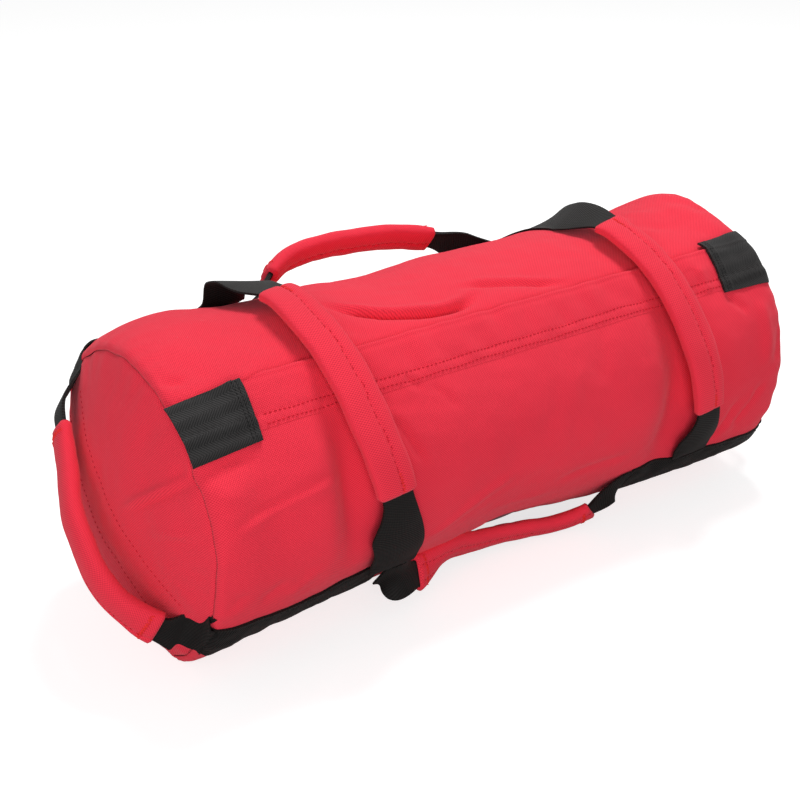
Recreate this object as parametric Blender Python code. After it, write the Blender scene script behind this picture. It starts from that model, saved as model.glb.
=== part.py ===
"""Sandbag trainer: a sand-filled fabric bag with a covered zip and six webbing handles.

The bag lies on its side as it is stored: +X runs along it, +Z is up, and the origin is the middle of
its footprint.  Angles around the bag are in degrees, from straight up (0) towards the front, -Y (90).
All pieces are made round the bag's own axis and then moved so that the footprint is centred.
Every sewn-on piece is laid on the skin of the bag by the same functions, so it follows its sizes.
"""
import math

import bmesh
import bpy
import numpy as np
from mathutils import Matrix

# Bag shell
SEAM_TO_SEAM = 0.525
BAG_RADIUS = 0.114
SHOULDER_DROP = 0.008
SEAM_RADIUS = BAG_RADIUS - SHOULDER_DROP
DOME_HEIGHT = 0.025
FLOOR_SAG = 0.010
AXIS_HEIGHT = BAG_RADIUS - FLOOR_SAG
AXIS_ACROSS = -0.004
MIDDLE_ALONG = 0.005
SHOULDER_LENGTH = 0.030
WAIST_DIP = 0.018
END_DIP = 0.004
WAIST_REACH = 0.170
WAIST_ANGLE = 145.0
WAIST_SHARPNESS = 6
FABRIC = 0.0015
GAP = 0.0004
SEAM_GAP = 0.0019
STATION_SHARES = (0.0, 0.14, 0.28, 0.42, 0.56, 0.70, 0.80, 0.87, 0.92, 0.965, 1.0)
SKIN_STEP = 6.0
TRIM_STEP = 4.0
DOME_RING_SHARES = (1.0, 0.93, 0.80, 0.62, 0.40, 0.18)

# Seams and reinforcements inside the shell
BINDING_WIDTH = 0.010
BINDING_THICKNESS = 0.0012
BINDING_INSET = 0.0085
END_WEB_REACH = 0.078

# Zip, slot and flap
ZIP_ANGLE = 39.5
SLOT_WIDTH = 0.013
SLOT_INSET = 0.0405
SLOT_LENGTH = SEAM_TO_SEAM - 2 * SLOT_INSET
TAPE_WIDTH = 0.0125
TAPE_THICKNESS = 0.0008
TAPE_DEPTH = 0.0021
CHAIN_INSET = 0.024
CHAIN_DEPTH = 0.0032
TOOTH_PITCH = 0.004
TOOTH_SHARE = 0.42
TOOTH_HEIGHT = 0.0024
TOOTH_REACH = 0.0013
BEAD_INNER = 0.0016
BEAD_OUTER = 0.0032
STOP_LENGTH = 0.003
FLAP_UPPER_ANGLE = 32.4
FLAP_LOWER_ANGLE = 47.5
FLAP_THICKNESS = 0.0011
FLAP_CROWN = 0.0027
FLAP_FADE = 0.016
FLAP_FREE_LIFT = 0.0007
TAB_LENGTH = 0.050
TAB_THICKNESS = 0.0014
LEFT_TAB_INSET = 0.0
LEFT_TAB_ANGLES = (31.6, 53.4)
RIGHT_TAB_INSET = 0.004
RIGHT_TAB_ANGLES = (28.6, 52.2)

# Zip slider and its pull
SLIDER_LENGTH = 0.015
SLIDER_WIDTH = 0.011
SLIDER_HEIGHT = 0.0052
SLIDER_CLEARANCE = 0.0004
PLATE_CLEARANCE = 0.0003
POST_WIDTH = 0.0024
POST_LENGTH = 0.004
LANE_WIDTH = 0.003
TAPE_SLOT_HEIGHT = 0.0016
BRIDGE_LENGTH = 0.0076
BRIDGE_WIDTH = 0.0018
BRIDGE_FOOT = 0.002
BRIDGE_BAR = 0.0009
BRIDGE_OPENING = 0.0016
PULL_LENGTH = 0.022
PULL_WIDTH = 0.007
PULL_THICKNESS = 0.001
PULL_EYE_BAR = 0.0012
PULL_EYE_LENGTH = 0.0036
PULL_EYE_WIDTH = 0.0032

# Webbing
WEB_WIDTH = 0.038
WEB_THICKNESS = 0.0016
WEB_ROW_SHARES = (-0.5, -0.25, 0.0, 0.25, 0.5)
STRAP_ANGLE_FRONT = 129.0
STRAP_ANGLE_BACK = -51.0
BACK_STRAP_INSET = 0.0205

# Long handles, each a free length of the lengthwise webbing between two sewn stretches
LONG_CENTRE = -0.006
LONG_SPAN = 0.237
LONG_SLEEVE = 0.168
LONG_SLEEVE_WIDTH = 0.027
LONG_SLEEVE_THICKNESS = 0.013
LONG_FOLD_WIDTH = 0.019
LONG_FOLD_THICKNESS = 0.0034
BACK_RISE = 0.046
FRONT_RISE = 0.0155
LONG_SPAN_SHARES = (-0.5, -0.45, -0.38, -0.27, -0.14, 0.0, 0.13, 0.25, 0.36, 0.44, 0.5)
BACK_RISE_SHARES = (0.0, 0.16, 0.48, 0.85, 1.0, 0.97, 0.86, 0.66, 0.40, 0.16, 0.0)
FRONT_RISE_SHARES = (0.0, 0.25, 0.52, 0.58, 0.56, 0.64, 0.85, 1.0, 0.86, 0.40, 0.0)
FRONT_ANGLES = (129.0, 129.0, 133.0, 139.5, 143.0, 144.0, 144.0, 143.0, 138.0, 129.2, 129.0)

# Cross handles, over the zip side
CROSS_CENTRE = 0.147
CROSS_DRIFT = 0.030
CROSS_RISE = 0.0122
CROSS_SLEEVE_WIDTH = 0.030
CROSS_SLEEVE_THICKNESS = 0.009
CROSS_FOLD_WIDTH = 0.0235
CROSS_FOLD_THICKNESS = 0.0022
CROSS_ANGLES = (-30.0, -20.0, -8.0, 5.0, 20.0, 39.0, 58.0, 75.0, 90.0, 104.0)
CROSS_RISE_SHARES = (0.0, 0.24, 0.44, 0.72, 0.95, 0.98, 1.0, 0.97, 0.9, 0.68, 0.42, 0.0)
LEFT_DRIFT_SHARES = (-0.72, -0.72, -0.53, -0.3, -0.12, -0.13, -0.07, 0.03, 0.27, 0.53, 0.85, 0.85)
RIGHT_DRIFT_SHARES = (-1.1, -1.1, -1.0, -0.7, -0.35, -0.25, -0.13, 0.0, 0.23, 0.55, 0.92, 0.92)
LEFT_SLEEVE_ANGLES = (2.0, 81.0)
RIGHT_SLEEVE_ANGLES = (8.0, 92.0)

# End handles, over the domed ends: how far out from the seam and where along the strap line
END_REACH = 0.050
END_LAP = 0.003
END_SPAN = BAG_RADIUS + END_LAP
END_OUT_SHARES = (-0.395, -0.16, 0.12, 0.38, 0.54, 0.70, 0.87, 0.96, 1.0, 0.90, 0.72, 0.48, 0.24, 0.085,
                  0.038, 0.01)
END_PLACE_SHARES = (-0.989, -0.985, -0.92, -0.76, -0.53, -0.28, -0.08, 0.13, 0.316, 0.487, 0.615, 0.718,
                    0.79, 0.86, 0.9, 0.922)
END_RIGHT_SHARE = 0.62
END_PIVOT_DEPTH = 0.030
END_SLEEVE_WIDTH = 0.027
END_SLEEVE_THICKNESS = 0.013
END_SLEEVE_BACK = -0.068
END_SLEEVE_FRONT = 0.084
END_FOLD_WIDTH = 0.019
END_FOLD_THICKNESS = 0.0034

# Sand pouches
POUCH_COUNT = 3
POUCH_INSET = 0.0255
POUCH_CLEARANCE = 0.003
POUCH_SPACING = (SEAM_TO_SEAM - 2 * POUCH_INSET + POUCH_CLEARANCE) / POUCH_COUNT
POUCH_LENGTH = POUCH_SPACING - POUCH_CLEARANCE
POUCH_ROOM = 0.0058
POUCH_SIDES = 24
POUCH_END_SHARES = (0.0, 0.035, 0.12, 0.88, 0.965, 1.0)
POUCH_GIRTH_SHARES = (0.80, 0.93, 1.0, 1.0, 0.93, 0.80)
CLOSURE_ANGLE = -12.0
CLOSURE_INSET = 0.028
CLOSURE_LENGTH = POUCH_LENGTH - 2 * CLOSURE_INSET
CLOSURE_THICKNESS = 0.002
CLOSURE_EDGE_SHARES = (0.06, 0.94)

# Shared counts and small working values
PATH_STEPS = 26
END_PATH_STEPS = 32
SLEEVE_SIDES = 16
SLEEVE_END_SHARE = 0.72
SLEEVE_SHARPNESS = 6
FOLD_STEPS = 2.8
SHADE_ANGLE = 40.0
CUT_OVERRUN = 0.002

HALF_LENGTH = SEAM_TO_SEAM / 2
LENGTHWISE = np.array([1.0, 0.0, 0.0])
STATIONS = HALF_LENGTH * np.array(sorted({sign * s for s in STATION_SHARES for sign in (-1.0, 1.0)}))


def clear_scene():
    for item in list(bpy.data.objects):
        bpy.data.objects.remove(item, do_unlink=True)


def material(name, colour, roughness, metallic=0.0):
    """A Principled material with a linear colour."""
    made = bpy.data.materials.new(name)
    made.use_nodes = True
    shader = made.node_tree.nodes["Principled BSDF"]
    shader.inputs["Base Color"].default_value = (*colour, 1.0)
    shader.inputs["Roughness"].default_value = roughness
    shader.inputs["Metallic"].default_value = metallic
    made.diffuse_color = (*colour, 1.0)
    return made


def keep_as_object(name, mesh_maker, finish):
    """Turns a bmesh into a named object with its material."""
    mesh = bpy.data.meshes.new(name)
    mesh_maker.to_mesh(mesh)
    mesh_maker.free()
    mesh.materials.append(finish)
    item = bpy.data.objects.new(name, mesh)
    bpy.context.scene.collection.objects.link(item)
    return item


def shade_round(item):
    item.data.shade_smooth()
    item.data.set_sharp_from_angle(angle=math.radians(SHADE_ANGLE))


def unit(vectors):
    return vectors / np.linalg.norm(vectors, axis=-1, keepdims=True)


def smooth_through(values, count):
    """Catmull-Rom curve through the given rows, read at evenly spaced parameters."""
    rows = np.asarray(values, dtype=float)
    if rows.ndim == 1:
        rows = rows[:, None]
    padded = np.vstack([2 * rows[0] - rows[1], rows, 2 * rows[-1] - rows[-2]])
    place = np.linspace(0.0, len(rows) - 1.0, count)
    span = np.minimum(place.astype(int), len(rows) - 2)
    t = (place - span)[:, None]
    before, start, end, after = (padded[span + k] for k in range(4))
    return (start + (end - before) / 2 * t
            + (before - 2.5 * start + 2 * end - after / 2) * t ** 2
            + ((after - before) / 2 + (start - end) * 1.5) * t ** 3)


def outward(angle):
    """Unit vector square to the bag's axis at an angle around the bag."""
    a = np.radians(angle)
    return np.stack([np.zeros_like(a), -np.sin(a), np.cos(a)], axis=-1)


def design_radius(x, angle):
    """Skin radius: full barrel, rounded shoulders down to the seams, underside drawn in at the waist."""
    shoulder = np.clip((HALF_LENGTH - np.abs(x)) / SHOULDER_LENGTH, 0.0, 1.0)
    barrel = SEAM_RADIUS + (BAG_RADIUS - SEAM_RADIUS) * np.sqrt(1.0 - (1.0 - shoulder) ** 2)
    along = 0.5 + 0.5 * np.cos(np.pi * np.minimum(np.abs(x) / WAIST_REACH, 1.0))
    dip = END_DIP + (WAIST_DIP - END_DIP) * along
    around = ((1.0 + np.cos(np.radians(angle - WAIST_ANGLE))) / 2) ** WAIST_SHARPNESS
    return barrel - dip * around * shoulder


def skin_radius(x, angle):
    """The design radius along straight lines between the shell's stations, as the cut panel has them."""
    x, angle = np.broadcast_arrays(np.asarray(x, dtype=float), np.asarray(angle, dtype=float))
    after = np.clip(np.searchsorted(STATIONS, x), 1, len(STATIONS) - 1)
    low, high = STATIONS[after - 1], STATIONS[after]
    share = np.clip((x - low) / (high - low), 0.0, 1.0)
    return (1.0 - share) * design_radius(low, angle) + share * design_radius(high, angle)


def skin_point(x, angle, lift):
    """Point at a lift above the skin; the underside is flat where the bag rests."""
    x, angle, lift = np.broadcast_arrays(*(np.asarray(v, dtype=float) for v in (x, angle, lift)))
    point = (skin_radius(x, angle) + lift)[..., None] * outward(angle)
    point[..., 0] = x
    point[..., 2] = np.maximum(point[..., 2], -AXIS_HEIGHT - np.minimum(lift, 0.0)) + AXIS_HEIGHT
    return point


def dome_point(side, place, turn, lift):
    """Point on an end panel, at a distance and an angle from its middle; lift is outward along X."""
    place, turn, lift = np.broadcast_arrays(*(np.asarray(v, dtype=float) for v in (place, turn, lift)))
    point = place[..., None] * outward(turn)
    bulge = DOME_HEIGHT * (1.0 - (place / SEAM_RADIUS) ** 2)
    point[..., 0] = side * (HALF_LENGTH + bulge + lift)
    point[..., 2] = np.maximum(point[..., 2], -AXIS_HEIGHT) + AXIS_HEIGHT
    return point


def spread(low, high, step):
    """Evenly spaced values from low to high, no further apart than step."""
    return np.linspace(low, high, int(math.ceil(abs(high - low) / step - 1e-9)) + 1)


def skin_angles():
    """The shell's angles: evenly spaced round the bag from one edge of the zip slot to the other."""
    slot_half = width_angle(SLOT_WIDTH) / 2
    return spread(ZIP_ANGLE + slot_half, ZIP_ANGLE - slot_half + 360.0, SKIN_STEP)


def stations_between(low, high):
    """The shell's stations inside a stretch, with both of its ends."""
    inside = STATIONS[(STATIONS > low + GAP) & (STATIONS < high - GAP)]
    return np.concatenate([[low], inside, [high]])


def width_angle(length):
    """Angle that a width covers on the barrel."""
    return math.degrees(length / BAG_RADIUS)


def sheet(name, points, thickness, finish, loop=False, outwards=True, skip=None, middle=None):
    """A sewn panel: a grid of points given its cloth thickness, outwards or inwards.
    loop joins the last column to the first, skip leaves cells open, middle closes the last row."""
    rows, columns = points.shape[:2]
    made = bmesh.new()
    grid = [[made.verts.new(points[i, j]) for j in range(columns)] for i in range(rows)]
    for i in range(rows - 1):
        for j in range(columns if loop else columns - 1):
            if skip is not None and skip[i, j]:
                continue
            k = (j + 1) % columns
            made.faces.new((grid[i][j], grid[i][k], grid[i + 1][k], grid[i + 1][j]))
    if middle is not None:
        hub = made.verts.new(middle)
        for j in range(columns):
            made.faces.new((grid[-1][j], grid[-1][(j + 1) % columns], hub))
    item = keep_as_object(name, made, finish)
    cloth = item.modifiers.new("cloth", "SOLIDIFY")
    cloth.thickness = thickness
    cloth.offset = 1.0 if outwards else -1.0
    cloth.use_even_offset = True
    shade_round(item)
    return item


def loft(name, rings, finish, bore=None):
    """Closed body through rings of points; with bore rings of the same count it is a tube."""
    made = bmesh.new()
    outer = [[made.verts.new(p) for p in ring] for ring in rings]
    count = len(outer[0])
    for here, there in zip(outer, outer[1:]):
        for j in range(count):
            k = (j + 1) % count
            made.faces.new((here[j], here[k], there[k], there[j]))
    if bore is None:
        made.faces.new(outer[0][::-1])
        made.faces.new(outer[-1])
    else:
        inner = [[made.verts.new(p) for p in ring] for ring in bore]
        for here, there in zip(inner, inner[1:]):
            for j in range(count):
                k = (j + 1) % count
                made.faces.new((here[j], there[j], there[k], here[k]))
        for end, turned in ((0, True), (-1, False)):
            for j in range(count):
                k = (j + 1) % count
                face = (outer[end][j], outer[end][k], inner[end][k], inner[end][j])
                made.faces.new(face[::-1] if turned else face)
    bmesh.ops.recalc_face_normals(made, faces=made.faces[:])
    item = keep_as_object(name, made, finish)
    shade_round(item)
    return item


def path_frame(centre, normal, end_runs):
    """Side and face directions of a strip that follows a path with its face towards normal.
    end_runs are the directions in which it leaves its first point and reaches its last."""
    along = unit(np.gradient(centre, axis=0))
    along[0], along[-1] = end_runs
    side = unit(np.cross(along, normal))
    return side, np.cross(side, along)


def ribbon(name, centre, side, face, widths, thicknesses, finish):
    """Webbing: a flat strip of changing width and thickness along a path."""
    half_wide = np.asarray(widths)[:, None] / 2 * side
    half_thick = np.asarray(thicknesses)[:, None] / 2 * face
    corners = (half_wide + half_thick, half_wide - half_thick,
               -half_wide - half_thick, -half_wide + half_thick)
    rings = np.stack([centre + corner for corner in corners], axis=1)
    return loft(name, rings, finish)


def sleeve(name, centre, side, face, size, bore, finish):
    """Padded sleeve: an oval tube, stitched thinner at both ends, open along the webbing inside."""
    width, thickness = size
    bore_width, bore_thickness = bore
    turn = np.linspace(0.0, 2 * np.pi, SLEEVE_SIDES, endpoint=False)
    place = np.linspace(-1.0, 1.0, len(centre))
    fullness = SLEEVE_END_SHARE + (1.0 - SLEEVE_END_SHARE) * (1.0 - place ** SLEEVE_SHARPNESS)
    across, up = np.cos(turn), np.sin(turn)
    reach = np.maximum(np.abs(across), np.abs(up))
    outer = (centre[:, None]
             + width / 2 * across[None, :, None] * side[:, None]
             + (thickness / 2 * fullness)[:, None, None] * up[None, :, None] * face[:, None])
    inner = (centre[:, None]
             + bore_width / 2 * (across / reach)[None, :, None] * side[:, None]
             + bore_thickness / 2 * (up / reach)[None, :, None] * face[:, None])
    return loft(name, outer, finish, bore=inner)


def handle(name, centre, normal, end_runs, ends, sleeve_size, fold_size, finishes):
    """Webbing along a path, folded narrower inside a padded sleeve between two indices of the path."""
    start, stop = ends
    side, face = path_frame(centre, normal, end_runs)
    index = np.arange(len(centre))
    away = np.clip(np.maximum(start - index, index - stop) / FOLD_STEPS, 0.0, 1.0)
    open_share = away ** 2 * (3 - 2 * away)
    widths = fold_size[0] + (WEB_WIDTH - fold_size[0]) * open_share
    thicknesses = fold_size[1] + (WEB_THICKNESS - fold_size[1]) * open_share
    web = ribbon(name + "_webbing", centre, side, face, widths, thicknesses, finishes["webbing"])
    inside = slice(start, stop + 1)
    bore = fold_size[0] + 2 * GAP, fold_size[1] + 2 * GAP
    tube = sleeve(name + "_sleeve", centre[inside], side[inside], face[inside], sleeve_size, bore,
                  finishes["red"])
    return web, tube


def make_shell(finishes):
    """Barrel panel, cut open along the zip, and the two domed end panels."""
    angles = skin_angles()
    end = HALF_LENGTH - SEAM_GAP
    x = np.array(sorted({*stations_between(-end, end), -SLOT_LENGTH / 2, SLOT_LENGTH / 2}))
    skip = np.zeros((len(x), len(angles)), dtype=bool)
    skip[:-1, -1] = (x[:-1] > -SLOT_LENGTH / 2 - GAP) & (x[1:] < SLOT_LENGTH / 2 + GAP)
    sheet("body_panel", skin_point(x[:, None], angles[None, :], 0.0), FABRIC, finishes["red"],
          loop=True, outwards=False, skip=skip)
    for side, word in ((-1, "left"), (1, "right")):
        turns = angles[::side]
        places = SEAM_RADIUS * np.array(DOME_RING_SHARES)
        sheet("end_panel_" + word, dome_point(side, places[:, None], turns[None, :], 0.0), FABRIC,
              finishes["red"], loop=True, outwards=False, middle=dome_point(side, 0.0, 0.0, 0.0))


def make_linings(finishes):
    """Binding tape over each raw seam and the webbing sewn inside each end panel."""
    turns = skin_angles()
    for side, word in ((-1, "left"), (1, "right")):
        near = HALF_LENGTH - SEAM_GAP - BINDING_INSET
        rows = np.sort(side * stations_between(near - BINDING_WIDTH, near))
        ring = skin_point(rows[:, None], turns[None, :], -FABRIC - 2 * GAP)
        sheet("seam_binding_" + word, ring, BINDING_THICKNESS, finishes["webbing"],
              loop=True, outwards=False)
        places = spread(-END_WEB_REACH, END_WEB_REACH, WEB_WIDTH / 2)
        across = -side * WEB_WIDTH * np.array(WEB_ROW_SHARES)
        run, cross = np.meshgrid(places, across, indexing="ij")
        distance = np.hypot(run, cross)
        turn = STRAP_ANGLE_FRONT + np.degrees(np.arctan2(cross, run))
        lining = dome_point(side, distance, turn, -FABRIC - 2 * GAP)
        sheet("end_web_" + word, lining, WEB_THICKNESS, finishes["webbing"], outwards=False)


def flap_lift(x, angle):
    """Underside of the zip flap: sewn down below the zip, crowned over it, its upper edge free."""
    share = np.clip((angle - FLAP_UPPER_ANGLE) / (FLAP_LOWER_ANGLE - FLAP_UPPER_ANGLE), 0.0, 1.0)
    along = np.clip((SLOT_LENGTH / 2 + FLAP_FADE - np.abs(x)) / FLAP_FADE, 0.0, 1.0)
    crown = (FLAP_CROWN - GAP) * np.sin(np.pi * share)
    return GAP + along * ((FLAP_FREE_LIFT - GAP) * (1.0 - share) + crown)


def make_flap(finishes):
    """Zip flap along the whole bag, and the webbing tab sewn over each of its ends."""
    end = HALF_LENGTH - SEAM_GAP
    fades = [sign * (SLOT_LENGTH / 2 + extra) for sign in (-1, 1) for extra in (0.0, FLAP_FADE)]
    x = np.array(sorted({*stations_between(-end, end), *fades}))[:, None]
    angles = spread(FLAP_UPPER_ANGLE, FLAP_LOWER_ANGLE, TRIM_STEP / 2)[None, :]
    sheet("zip_flap", skin_point(x, angles, flap_lift(x, angles)), FLAP_THICKNESS, finishes["red"])
    inner = spread(FLAP_UPPER_ANGLE, FLAP_LOWER_ANGLE, TRIM_STEP)
    for side, word, inset, (upper, lower) in ((-1, "left", LEFT_TAB_INSET, LEFT_TAB_ANGLES),
                                              (1, "right", RIGHT_TAB_INSET, RIGHT_TAB_ANGLES)):
        step_down = (lower - FLAP_LOWER_ANGLE) / 2
        angles = np.concatenate([[upper], inner, [FLAP_LOWER_ANGLE + step_down, lower]])
        over = np.clip((FLAP_LOWER_ANGLE + step_down - angles) / step_down, 0.0, 1.0)[None, :]
        low, high = sorted((side * (end - inset - TAB_LENGTH), side * (end - inset)))
        fade = [side * (SLOT_LENGTH / 2 + extra) for extra in (0.0, FLAP_FADE)]
        x = np.array(sorted({*stations_between(low, high), *fade}))[:, None]
        lift = GAP + over * (flap_lift(x, angles[None, :]) + FLAP_THICKNESS)
        sheet("flap_tab_" + word, skin_point(x, angles[None, :], lift), TAB_THICKNESS,
              finishes["webbing"])


def chain_ends():
    """Where the closed chain starts and ends along the bag; the slider is parked over its end."""
    half = SLOT_LENGTH / 2 - CHAIN_INSET
    return -half - SLIDER_LENGTH / 2, half - SLIDER_LENGTH / 2


def zip_empty(name, x, up):
    """Empty on the zip line: its X runs along the bag and its Z out of the skin."""
    empty = bpy.data.objects.new(name, None)
    place = (BAG_RADIUS + up) * outward(ZIP_ANGLE)
    empty.location = (x, place[1], place[2] + AXIS_HEIGHT)
    empty.rotation_euler = (math.radians(ZIP_ANGLE), 0.0, 0.0)
    bpy.context.scene.collection.objects.link(empty)
    bpy.context.view_layer.update()
    return empty


def block(name, low, high, finish, parent):
    """Rectangular block between two corners in its parent's space."""
    made = bmesh.new()
    bmesh.ops.create_cube(made, size=1.0)
    low, high = np.array(low), np.array(high)
    for vertex in made.verts:
        vertex.co = low + (np.array(vertex.co) + 0.5) * (high - low)
    item = keep_as_object(name, made, finish)
    item.parent = parent
    return item


def combine(item, other, operation):
    """Adds or cuts another block, which is only a guide."""
    step = item.modifiers.new(operation.lower(), "BOOLEAN")
    step.operation = operation
    step.solver = "EXACT"
    step.object = other
    other.hide_render = True
    other.display_type = "WIRE"


def make_zip(finishes):
    """Tapes sewn under the slot, two rows of moulded teeth that mesh, and their end stops."""
    start, end = chain_ends()
    flat = SLIDER_WIDTH / 2 + SLIDER_CLEARANCE
    inner = BEAD_OUTER + PLATE_CLEARANCE
    places = np.array([inner, flat, SLOT_WIDTH / 2 + FABRIC, inner + TAPE_WIDTH])
    low = -CHAIN_DEPTH - TAPE_THICKNESS / 2
    depths = np.array([low, low, -TAPE_DEPTH - TAPE_THICKNESS, -TAPE_DEPTH - TAPE_THICKNESS])
    tape_end = SLOT_LENGTH / 2 + FABRIC
    zip_line = zip_empty("zip_line", 0.0, -CHAIN_DEPTH)
    for side, word in ((-1, "back"), (1, "front")):
        angle = ZIP_ANGLE + side * np.degrees(places / BAG_RADIUS)
        radius = (BAG_RADIUS + depths)[None, :, None]
        tape = np.repeat(radius * outward(angle)[None], 2, axis=0)
        tape[0, :, 0] = -side * tape_end
        tape[1, :, 0] = side * tape_end
        tape[..., 2] += AXIS_HEIGHT
        sheet("zip_tape_" + word, tape, TAPE_THICKNESS, finishes["zip"])
        outline = [(start, BEAD_OUTER), (start, BEAD_INNER)]
        first = start + TOOTH_PITCH * (0.5 if side > 0 else 1.0)
        for number in range(int((end - first) / TOOTH_PITCH)):
            middle = first + number * TOOTH_PITCH
            half = TOOTH_PITCH * TOOTH_SHARE / 2
            outline += [(middle - half, BEAD_INNER), (middle - half, -TOOTH_REACH),
                        (middle + half, -TOOTH_REACH), (middle + half, BEAD_INNER)]
        outline += [(end, BEAD_INNER), (end, BEAD_OUTER)]
        made = bmesh.new()
        ring = [made.verts.new((x, -side * across, -TOOTH_HEIGHT / 2)) for x, across in outline]
        base = made.faces.new(ring)
        risen = bmesh.ops.extrude_face_region(made, geom=[base])["geom"]
        moved = [item for item in risen if isinstance(item, bmesh.types.BMVert)]
        bmesh.ops.translate(made, verts=moved, vec=(0.0, 0.0, TOOTH_HEIGHT))
        bmesh.ops.recalc_face_normals(made, faces=made.faces[:])
        teeth = keep_as_object("zip_teeth_" + word, made, finishes["zip"])
        teeth.parent = zip_line
        stop_low = (end + PLATE_CLEARANCE, min(-side * BEAD_INNER, -side * BEAD_OUTER), -TOOTH_HEIGHT / 2)
        stop_high = (end + STOP_LENGTH, max(-side * BEAD_INNER, -side * BEAD_OUTER), TOOTH_HEIGHT / 2)
        block("zip_top_stop_" + word, stop_low, stop_high, finishes["metal"], zip_line)
    block("zip_bottom_stop", (start - STOP_LENGTH, -BEAD_OUTER, -TOOTH_HEIGHT / 2),
          (start - PLATE_CLEARANCE, BEAD_OUTER, TOOTH_HEIGHT / 2), finishes["metal"], zip_line)


def make_slider(finishes):
    """Slider with its forked channel, post and bridge, and the pull hung through the bridge."""
    chain_end = chain_ends()[1]
    base = zip_empty("zip_slider_axis", chain_end + SLIDER_CLEARANCE + PLATE_CLEARANCE, -CHAIN_DEPTH)
    half, wide, tall = SLIDER_LENGTH / 2, SLIDER_WIDTH / 2, SLIDER_HEIGHT / 2
    slider = block("zip_slider", (-half, -wide, -tall), (half, wide, tall), finishes["metal"], base)
    room = TOOTH_HEIGHT / 2 + PLATE_CLEARANCE
    lane = BEAD_OUTER + SLIDER_CLEARANCE
    fork = half - POST_LENGTH
    cuts = [("channel", (-half - CUT_OVERRUN, -lane, -room), (fork, lane, room))]
    for side in (-1, 1):
        low, high = sorted((side * POST_WIDTH / 2, side * (POST_WIDTH / 2 + LANE_WIDTH)))
        cuts.append(("lane", (fork - CUT_OVERRUN, low, -room), (half + CUT_OVERRUN, high, room)))
        low, high = sorted((side * (lane - SLIDER_CLEARANCE), side * (wide + CUT_OVERRUN)))
        cuts.append(("tape_slot", (-half - CUT_OVERRUN, low, -TAPE_SLOT_HEIGHT / 2),
                     (half + CUT_OVERRUN, high, TAPE_SLOT_HEIGHT / 2)))
    for word, low, high in cuts:
        combine(slider, block("cut_" + word, low, high, finishes["metal"], base), "DIFFERENCE")
    top = tall + BRIDGE_OPENING + BRIDGE_BAR
    arch = block("cut_bridge", (-BRIDGE_LENGTH / 2, -BRIDGE_WIDTH / 2, tall - PLATE_CLEARANCE),
                 (BRIDGE_LENGTH / 2, BRIDGE_WIDTH / 2, top), finishes["metal"], base)
    gap = BRIDGE_LENGTH / 2 - BRIDGE_FOOT
    window = block("cut_window", (-gap, -BRIDGE_WIDTH, tall), (gap, BRIDGE_WIDTH, tall + BRIDGE_OPENING),
                   finishes["metal"], base)
    combine(slider, arch, "UNION")
    combine(slider, window, "DIFFERENCE")
    eye = -gap + PULL_EYE_BAR / 2 + PLATE_CLEARANCE
    pull_up = -CHAIN_DEPTH + tall + BRIDGE_OPENING / 2
    hinge = zip_empty("zip_pull_axis", base.location.x + eye, pull_up)
    edge = PULL_EYE_BAR / 2
    pull = block("zip_pull", (edge - PULL_LENGTH, -PULL_WIDTH / 2, -PULL_THICKNESS / 2),
                 (edge, PULL_WIDTH / 2, PULL_THICKNESS / 2), finishes["metal"], hinge)
    hole = block("cut_eye", (-edge - PULL_EYE_LENGTH, -PULL_EYE_WIDTH / 2, -PULL_THICKNESS),
                 (-edge, PULL_EYE_WIDTH / 2, PULL_THICKNESS), finishes["metal"], hinge)
    combine(pull, hole, "DIFFERENCE")


def long_ends():
    return LONG_CENTRE - LONG_SPAN / 2, LONG_CENTRE + LONG_SPAN / 2


def make_straps(finishes):
    """Lengthwise webbing sewn to the barrel, between the handles that it forms."""
    left, right = long_ends()
    seam = HALF_LENGTH - SEAM_GAP
    back_end = HALF_LENGTH - BACK_STRAP_INSET
    half = width_angle(WEB_WIDTH) / 2
    stretches = (("strap_front_left", STRAP_ANGLE_FRONT, -seam, left - 2 * GAP),
                 ("strap_front_right", STRAP_ANGLE_FRONT, right + 2 * GAP, seam),
                 ("strap_back_left", STRAP_ANGLE_BACK, -back_end, left - 2 * GAP),
                 ("strap_back_right", STRAP_ANGLE_BACK, right + 2 * GAP, back_end))
    for name, middle, low, high in stretches:
        angles = spread(middle - half, middle + half, TRIM_STEP)[None, :]
        x = stations_between(low, high)[:, None]
        sheet(name, skin_point(x, angles, GAP), WEB_THICKNESS, finishes["webbing"])


def hinge_empty(name, position, along):
    """Empty on a handle's hinge line, its X along the line."""
    empty = bpy.data.objects.new(name, None)
    direction = unit(np.asarray(along, dtype=float))
    up = outward(STRAP_ANGLE_FRONT) if direction[0] > math.sqrt(0.5) else LENGTHWISE
    side = unit(np.cross(up, direction))
    turned = np.stack([direction, side, np.cross(direction, side)], axis=1)
    empty.matrix_world = Matrix.Translation(position) @ Matrix(turned.tolist()).to_4x4()
    bpy.context.scene.collection.objects.link(empty)
    return empty


def hang(items, empty):
    """Parents finished pieces to their hinge without moving them."""
    bpy.context.view_layer.update()
    for item in items:
        item.parent = empty
        item.matrix_parent_inverse = empty.matrix_world.inverted()


def nearest(values, wanted):
    return int(np.argmin(np.abs(values - wanted)))


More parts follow.
